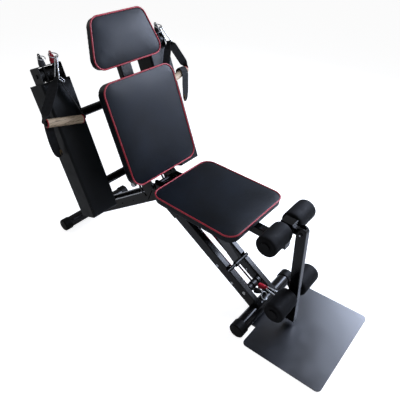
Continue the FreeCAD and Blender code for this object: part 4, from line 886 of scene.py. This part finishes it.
@dataclass
class HandStrap:
    """Webbing from a snap hook's lower bar through a grip's bore, with each leg turned to lie flat."""

    side: Side
    bar: tuple[float, float]
    outer_turn: Vector
    inner_turn: Vector
    depth: float = 126.0
    narrow: float = 24.0
    wide: float = 38.0
    thin_leg: float = 24.0
    end_radius: float = 7.2
    bar_radius: float = 4.6
    outer_mouth: tuple[float, float] = (403.6, 373.0)
    inner_mouth: tuple[float, float] = (242.4, 338.0)
    grip_slope: float = 12.26
    arc_steps: int = 10
    leg_steps: int = 16

    def arc(self, centre: Vector, radius: float, start: float, end: float) -> list[Station]:
        """Gives stations round a circle in the plane of the handle."""
        turns = [math.radians(start + (end - start) * i / self.arc_steps)
                 for i in range(self.arc_steps + 1)]
        return [Station(centre + Vector((math.cos(t), 0, math.sin(t))) * radius, Vector((0, 1, 0)),
                        self.narrow) for t in turns]

    def leg(self, start: Vector, end: Vector, turn: Vector, wide: float) -> list[Station]:
        """Gives stations down a leg that turns to face another way and back again."""
        found = []
        for i in range(1, self.leg_steps):
            share = i / self.leg_steps
            rise = eased(min(share / 0.22, (1.0 - share) / 0.2))
            across = Vector((0, 1, 0)).lerp(turn, rise)
            found.append(Station(start.lerp(end, share), across,
                                 self.narrow + (wide - self.narrow) * rise))
        return found

    def make(self) -> None:
        """Builds the closed strap."""
        top = Vector((self.bar[0], self.depth, self.bar[1]))
        outer, inner = (Vector((self.side * x, self.depth, up))
                        for x, up in (self.outer_mouth, self.inner_mouth))
        over, inward = (top - outer), (top - inner)
        outer_at = math.degrees(math.atan2(over.z, over.x))
        inner_at = math.degrees(math.atan2(inward.z, inward.x))
        lean, quarter, half = self.side * self.grip_slope, -90.0 * self.side, 180.0 * self.side
        around_out = self.arc(outer, self.end_radius, 90.0 - half + lean, outer_at + quarter)
        around_top = self.arc(top, self.bar_radius, outer_at + quarter, inner_at - quarter)
        around_in = self.arc(inner, self.end_radius, inner_at - quarter, 90.0 + half + lean)
        stations = around_out
        stations += self.leg(around_out[-1].middle, around_top[0].middle, self.outer_turn, self.wide)
        stations += around_top
        stations += self.leg(around_top[-1].middle, around_in[0].middle, self.inner_turn, self.thin_leg)
        stations += around_in
        word = self.side.word
        strap = ribbon("handle_webbing_" + word, stations, BACKREST, WEB, closed=True)
        settle(strap, "handle_" + word, "webbing", "handle_strap_" + word)


# a cuff's line: its place across, out from and up the backrest, and its width
BEHIND = ((385, 129, 398, 24), (385, 135, 388, 30), (384, 144, 374, 36), (384, 149, 358, 38),
          (384, 156, 338, 38), (383, 163, 316, 38), (382, 170, 294, 38), (380, 176, 272, 38),
          (377, 182, 250, 37), (373, 188, 232, 33), (370, 191, 221, 24), (367, 193, 214, 12))
OVER = ((369, 147, 352, 42), (369, 146, 364, 42), (369, 140, 376, 42), (369, 126, 382.5, 42),
        (369, 111, 376, 42), (369, 105, 362, 42), (368, 106, 344, 42), (367, 112, 325, 42),
        (366, 119, 305, 42), (365, 125, 284, 41), (363, 131, 262, 39), (361, 138, 240, 34),
        (360, 142, 227, 26), (358, 145, 218, 13))


@dataclass
class AnkleCuff:
    """Padded cuff slung over a grip's outer end, with a pull loop at its tip."""

    side: Side
    line: tuple[tuple[float, float, float, float], ...]
    loop_shift: tuple[float, float, float] = (-12.0, -3.0, -2.0)
    loop_reach: float = 13.0
    loop_lean: float = 4.0
    loop_steps: int = 20

    def make(self) -> None:
        """Builds the cuff and its loop."""
        stations = [Station(Vector((self.side * x, n, up)), Vector((1, 0, 0)), wide)
                    for x, n, up, wide in self.line]
        word = self.side.word
        cuff = ribbon("ankle_cuff_" + word, stations, BACKREST, CUFF_WEB, thickness=4.0)
        settle(cuff, "handle_" + word, "webbing", "ankle_strap_" + word)
        x, n, up = (a + b for a, b in zip(self.line[-3], self.loop_shift))
        middle = Vector((self.side * x, n, up))
        loop = []
        for i in range(self.loop_steps):
            turn = math.tau * i / self.loop_steps
            lean = self.loop_lean
            shift = Vector((lean * math.cos(turn), -lean * math.sin(turn),
                            self.loop_reach * math.sin(turn)))
            loop.append(Station(middle + shift, Vector((0, 1, 0)), 6.0))
        tab = ribbon("cuff_loop_" + word, loop, BACKREST, TAN_LOOP, thickness=1.2, closed=True)
        settle(tab, "handle_" + word, "webbing")


# ------------------------------------------------------------------ cord ends and fasteners
def gathered(parts: Sequence[tuple[bmesh.types.BMesh, Matrix, int]]) -> bmesh.types.BMesh:
    """Joins shapes into one, each at its place and with its material number; the parts are freed."""
    whole = bmesh.new()
    for part, place, number in parts:
        bmesh.ops.transform(part, matrix=place, verts=part.verts)
        for face in part.faces:
            face.material_index = number
        mesh = bpy.data.meshes.new("part")
        part.to_mesh(mesh)
        part.free()
        whole.from_mesh(mesh)
        bpy.data.meshes.remove(mesh)
    return whole


# half outlines of a stopper's cone and of its eye, and how far the eye stands off
CONE = ((4.6, 0), (12.2, 0), (13, 0.9), (13, 3.2), (12.5, 3.8), (12.5, 4.4), (13, 5.0), (13, 7.4),
        (12.5, 8.0), (12.5, 8.6), (13, 9.2), (13, 11.2), (11.6, 16.5), (9.7, 24.5), (8.2, 30.6),
        (7.2, 31.8), (6.2, 32), (0, 32), (0, 27), (4.6, 27), (4.6, 0))
EYE = ((4.6, -1.2), (5.3, -2.0), (7.6, -2.0), (8.4, -1.2), (8.4, 1.2), (7.6, 2.0), (5.3, 2.0),
       (4.6, 1.2), (4.6, -1.2))
EYE_REACH = 38.0


@dataclass
class CordStoppers:
    """Moulded cones on the ends of a set of elastic cords, each with a drilled eye."""

    name: str
    node: str
    body: str
    place: Matrix
    way: Vector
    spots: tuple[tuple[float, float, float, int], ...]
    finishes: tuple[Finish, ...]

    def make(self) -> None:
        """Builds the cones, ridged round the skirt, and their eyes."""
        parts = []
        for x, y, z, number in self.spots:
            base = Vector((x, y, z)) * MM
            parts.append((turned(CONE, 36), aimed(base, self.way), number))
            eye = aimed(base + self.way * EYE_REACH * MM, Vector((1, 0, 0)))
            parts.append((turned(EYE, 32), eye, number))
        piece = into_object(self.name, gathered(parts), self.place, self.finishes)
        settle(piece, self.body, "stopper", self.node)


@dataclass
class Link:
    """Bent wire link: a ring, or a long loop with round ends."""

    name: str
    body: str
    centre: tuple[float, float, float]
    along: Vector
    normal: Vector
    radius: float
    reach: float = 0.0
    thickness: float = 1.8
    steps: int = 32

    def make(self) -> None:
        """Builds the link in the backrest's frame."""
        along = self.along.normalized()
        across = self.normal.cross(along).normalized()
        points = []
        for i in range(self.steps):
            turn = math.tau * (i + 0.5) / self.steps
            shift = self.reach if math.cos(turn) > 0 else -self.reach
            points.append((Vector(self.centre) + along * (self.radius * math.cos(turn) + shift)
                           + across * self.radius * math.sin(turn)) * MM)
        settle(wire(self.name, points, self.thickness, BACKREST, ZINC), self.body, "chrome")


@dataclass
class Fasteners:
    """Small plated screw heads set on flat faces."""

    name: str
    body: str
    place: Matrix
    radius: float
    height: float
    spots: tuple[tuple[tuple[float, float, float], tuple[float, float, float]], ...]
    hexagon: bool = False

    def make(self) -> None:
        """Builds every head with a thin washer beneath a hexagon one."""
        r, h = self.radius, self.height
        parts = []
        for centre, axis in self.spots:
            at = aimed(Vector(centre) * MM, Vector(axis))
            if self.hexagon:
                washer = turned([(0, 0), (r * 1.35, 0), (r * 1.35, 0.9), (r * 1.25, 1.1), (0, 1.1)], 32)
                head = turned([(0, 1.1), (r, 1.1), (r, h * 0.82), (r * 0.84, h), (0, h)], 6)
                parts.append((washer, at, 0))
                parts.append((head, at, 0))
            else:
                dome = turned([(0, 0), (r, 0), (r * 0.93, h * 0.5), (r * 0.6, h * 0.9), (0, h)], 28)
                parts.append((dome, at, 0))
        piece = into_object(self.name, gathered(parts), self.place, [ZINC])
        settle(piece, self.body, "steel")


# ------------------------------------------------------------------ steelwork and plastics
CAD_FINISHES: dict[Finish, tuple[str, ...]] = {
    GLOSS_BLACK: (
        "front_stabiliser", "rear_stabiliser", "front_rail_left", "front_rail_right",
        "apex_plates_left", "apex_plates_right", "rear_leg_left", "rear_leg_right",
        "rear_leg_braces", "back_frame", "tower_cross_tubes", "seat_frame", "roller_bracket",
        "seat_strut", "hook_rod", "leg_arm"),
    CAP_RUBBER: (
        "front_stabiliser_caps", "rear_stabiliser_caps", "upper_roller_shaft",
        "lower_roller_shaft"),
    SATIN_BLACK: ("foot_plate",),
    ZINC: (
        "foot_plate_screws", "front_axle", "front_cord_hardware", "pull_pin", "carabiner_left",
        "carabiner_right"),
    BLACK_OXIDE: ("pivot_bolts", "seat_bolts", "tower_bars"),
    GLAND_NYLON: (
        "front_pulley", "seat_tube_plug", "leg_arm_plug", "tower_block_left", "tower_block_right",
        "tower_pulley_left", "tower_pulley_right"),
    RED_CORD: ("front_cords",),
    RED_NYLON: ("front_cord_stoppers", "tower_stoppers"),
    BOARD: ("back_board", "head_board", "seat_board"),
    TOWER_ABS: ("tower_shell_left", "tower_shell_right", "tower_rear_covers"),
    BLACK_CORD: ("tower_cords",),
    WEB: ("handle_strap_left", "handle_strap_right"),
    CUFF_WEB: ("ankle_strap_left", "ankle_strap_right"),
}


def finish_nodes() -> None:
    """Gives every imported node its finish."""
    for finish, nodes in CAD_FINISHES.items():
        for node in nodes:
            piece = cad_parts[node]
            slots = max(1, len(piece.data.materials))
            piece.data.materials.clear()
            for _ in range(slots):
                piece.data.materials.append(finish.build())
            LOG.info("%s is finished in %s", node, finish.name)


# ------------------------------------------------------------------ studio
@dataclass
class Lamp:
    """One soft lamp: where it hangs, its face, its power in watts and what it faces."""

    name: str
    place: tuple[float, float, float]
    size: tuple[float, float]
    power: float
    aim: tuple[float, float, float] = (0.0, -0.2, 0.4)
    colour: str = "ffffff"

    def make(self) -> None:
        """Hangs the lamp."""
        light = bpy.data.lights.new(self.name, "AREA")
        light.shape = "RECTANGLE"
        light.size, light.size_y = self.size
        light.energy = self.power
        light.color = linear(self.colour)[:3]
        made = bpy.data.objects.new(self.name, light)
        made.location = self.place
        facing = Vector(self.aim) - Vector(self.place)
        made.rotation_euler = facing.to_track_quat("-Z", "Y").to_euler()
        bpy.context.scene.collection.objects.link(made)


LAMPS = (
    Lamp("overhead", (-0.9, -1.4, 3.3), (2.4, 1.8), 15.0, colour="dce7ff"),
    Lamp("side_window", (2.15, -0.9, 1.55), (1.6, 0.8), 82.0, (0.1, -0.6, 0.1), "dbe6ff"),
    Lamp("front_window", (1.7, -2.1, 1.35), (0.9, 1.3), 5.0, (0.0, 0.3, 0.9), "e6edff"),
    Lamp("skylight", (1.42, -1.08, 1.78), (0.7, 0.7), 24.0, (0.05, -0.3, 0.2), "dbe6ff"),
    Lamp("rear", (-1.2, 2.8, 2.4), (2.4, 1.6), 12.0),
)


@dataclass
class Studio:
    """Pale floor, soft lamps and the camera."""

    location: tuple[float, float, float] = (-1.15314, -1.06425, 1.49537)
    azimuth: float = -48.93
    elevation: float = 34.70
    roll: float = -1.98
    lens: float = 37.8999
    sensor: float = 36.0
    floor_lift: float = 0.86
    room: float = 0.16
    gloss_share: float = 0.12

    def seen(self, tree: bpy.types.NodeTree) -> bpy.types.NodeSocket:
        """Gives how far a ray meets the pale background: 1 if seen or through glass, less in gloss."""
        path = add_node(tree, "LightPath")
        gloss = add_node(tree, "Math", {"operation": "MULTIPLY"}, i0=path.outputs["Is Glossy Ray"],
                         i1=self.gloss_share)
        clear = add_node(tree, "Math", {"operation": "MAXIMUM"}, i0=path.outputs["Is Camera Ray"],
                         i1=path.outputs["Is Transmission Ray"])
        both = add_node(tree, "Math", {"operation": "MAXIMUM"}, i0=clear.outputs[0],
                        i1=gloss.outputs[0])
        return both.outputs[0]

    def floor(self) -> None:
        """Lays a pale floor that looks like the background to the camera and keeps soft shadows."""
        shape = bmesh.new()
        bmesh.ops.create_grid(shape, x_segments=1, y_segments=1, size=14.0)
        bmesh.ops.translate(shape, verts=shape.verts, vec=(0, 0, -0.0015))
        material = bpy.data.materials.new("pale_floor")
        material.use_nodes = True
        tree = material.node_tree
        shader = tree.nodes["Principled BSDF"]
        shader.inputs["Base Color"].default_value = linear("cfcfcf")
        shader.inputs["Roughness"].default_value = 0.9
        shader.inputs["Specular IOR Level"].default_value = 0.0
        shader.inputs["Emission Color"].default_value = (1.0, 1.0, 1.0, 1.0)
        lift = add_node(tree, "Math", {"operation": "MULTIPLY"}, i0=self.seen(tree), i1=self.floor_lift)
        tree.links.new(lift.outputs[0], shader.inputs["Emission Strength"])
        mesh = bpy.data.meshes.new("floor")
        shape.to_mesh(mesh)
        shape.free()
        mesh.materials.append(material)
        floor = bpy.data.objects.new("floor", mesh)
        bpy.context.scene.collection.objects.link(floor)

    def world(self) -> None:
        """Fills the room with even pale light; camera, metal and glass see it brighter."""
        world = bpy.data.worlds.new("room")
        bpy.context.scene.world = world
        world.use_nodes = True
        tree = world.node_tree
        strength = add_node(tree, "MapRange", Value=self.seen(tree), To_Min=self.room, To_Max=1.0)
        ground = tree.nodes["Background"]
        ground.inputs["Color"].default_value = (1.0, 1.0, 1.0, 1.0)
        tree.links.new(strength.outputs["Result"], ground.inputs["Strength"])

    def camera(self) -> None:
        """Stands the camera where the bench is seen from."""
        az, el, roll = (math.radians(v) for v in (self.azimuth, self.elevation, self.roll))
        back = Vector((math.sin(az) * math.cos(el), -math.cos(az) * math.cos(el), math.sin(el)))
        right = (-back).cross(Vector((0, 0, 1))).normalized()
        up = right.cross(-back)
        turned_right = right * math.cos(roll) + up * math.sin(roll)
        turned_up = up * math.cos(roll) - right * math.sin(roll)
        data = bpy.data.cameras.new("camera")
        data.sensor_width = self.sensor
        data.lens = self.lens
        made = bpy.data.objects.new("camera", data)
        turn = Matrix((turned_right, turned_up, back)).transposed().to_4x4()
        made.matrix_world = Matrix.Translation(self.location) @ turn
        bpy.context.scene.collection.objects.link(made)
        bpy.context.scene.camera = made

    def make(self) -> None:
        """Sets up the whole studio."""
        bpy.context.scene.view_settings.view_transform = "Standard"
        self.floor()
        self.world()
        for lamp in LAMPS:
            lamp.make()
        self.camera()


PADS = (
    Cushion("back_cushion", "back", "back_pad", BACKREST @ FACING,
            [(-194, 0), (194, 0), (194, 437), (-194, 437)], 48.0),
    Cushion("head_cushion", "back", "head_pad", BACKREST @ FACING,
            [(-187, 489), (187, 489), (133, 681), (-133, 681)], 40.0, face=-14.0),
    Cushion("seat_cushion", "seat", "seat_pad", BENCH,
            [(-185, -424), (185, -424), (185, 0), (-185, 0)], 48.0, back=-34.0),
)
STRAPS = (
    HandStrap(Side.LEFT, (-288.9, 510.1), Vector((-0.548, 0.728, 0.411)),
              Vector((0.568, 0.808, 0.152))),
    HandStrap(Side.RIGHT, (340.95, 511.0), Vector((-0.784, 0.511, -0.355)),
              Vector((-0.594, 0.73, 0.339)), thin_leg=34.0),
)
CUFFS = (AnkleCuff(Side.LEFT, BEHIND), AnkleCuff(Side.RIGHT, OVER))
ROLLER_AXES = {"upper": (-491.03, 495.0), "lower": (-547.03, 181.0)}
DROOP = Vector((0.0, -0.8, -0.6))
DROOP_FACE = DROOP.cross(Vector((1, 0, 0)))
LINKS = (
    Link("spare_ring_left", "back", (-311.5, 142.6, 592.7), DROOP, DROOP_FACE, 14.0),
    Link("spare_ring_right", "back", (261.5, 142.6, 592.7), DROOP, DROOP_FACE, 14.0),
    Link("tail_link_left", "handle_left", (-280.0, 111.6, 500.0), Vector((0.66, 0.0, -0.75)),
         Vector((0, 1, 0)), 5.0, 8.0, 1.5),
)
STOPPERS = (
    CordStoppers("tower_cord_ends", "tower_stoppers", "back", BACKREST, Vector((0, 0, 1)),
                 ((-261.5, 155.6, 564.5, 0), (-311.5, 155.6, 564.5, 1), (261.5, 155.6, 564.5, 2),
                  (311.5, 155.6, 564.5, 2)), (RED_NYLON, GREY_NYLON, GLAND_NYLON)),
    CordStoppers("front_cord_ends", "front_cord_stoppers", "main_frame", LEVEL,
                 Vector((0, math.cos(math.radians(163)), math.sin(math.radians(163)))),
                 ((17.0, -380.7, 95.2, 0), (-17.0, -380.7, 95.2, 1)), (RED_NYLON, GLAND_NYLON)),
)
RAIL_SPOTS = tuple(((side * 70.0, v, u), (float(side), 0.0, 0.0))
                   for side in Side for u, v in ((-415.0, 12.0), (-515.0, 12.0)))
RAIL_DOTS = tuple(((side * x, v, u), (float(side * way), 0.0, 0.0))
                  for side in Side
                  for x, way, u, v in ((70.0, 1, -453.0, 24.0), (70.0, 1, -608.0, 22.0),
                                       (42.0, -1, -415.0, 12.0), (42.0, -1, -515.0, 12.0)))
FASTENERS = (
    Fasteners("rail_screws", "main_frame", RAIL, 4.6, 4.2, RAIL_SPOTS, hexagon=True),
    Fasteners("rail_rivets", "main_frame", RAIL, 3.4, 0.9, RAIL_DOTS),
    Fasteners("arm_bolt_centres", "seat", LEVEL, 3.4, 0.8,
              (((-19.3, -555.0, 496.0), (-1.0, 0.0, 0.0)), ((19.3, -555.0, 496.0), (1.0, 0.0, 0.0)))),
)


def main() -> None:
    """Builds the studio, the finishes and every piece in order."""
    logging.basicConfig(level=logging.INFO, format="%(name)s: %(message)s")
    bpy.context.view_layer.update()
    Studio().make()
    finish_nodes()
    for pad in PADS:
        pad.make()
    for side in Side:
        for level, centre in ROLLER_AXES.items():
            FoamRoller(level, side, centre).make()
        HandGrip(side).make()
    for group in (STRAPS, CUFFS, STOPPERS, LINKS, FASTENERS):
        for piece in group:
            piece.make()


if __name__ == "__main__":
    main()
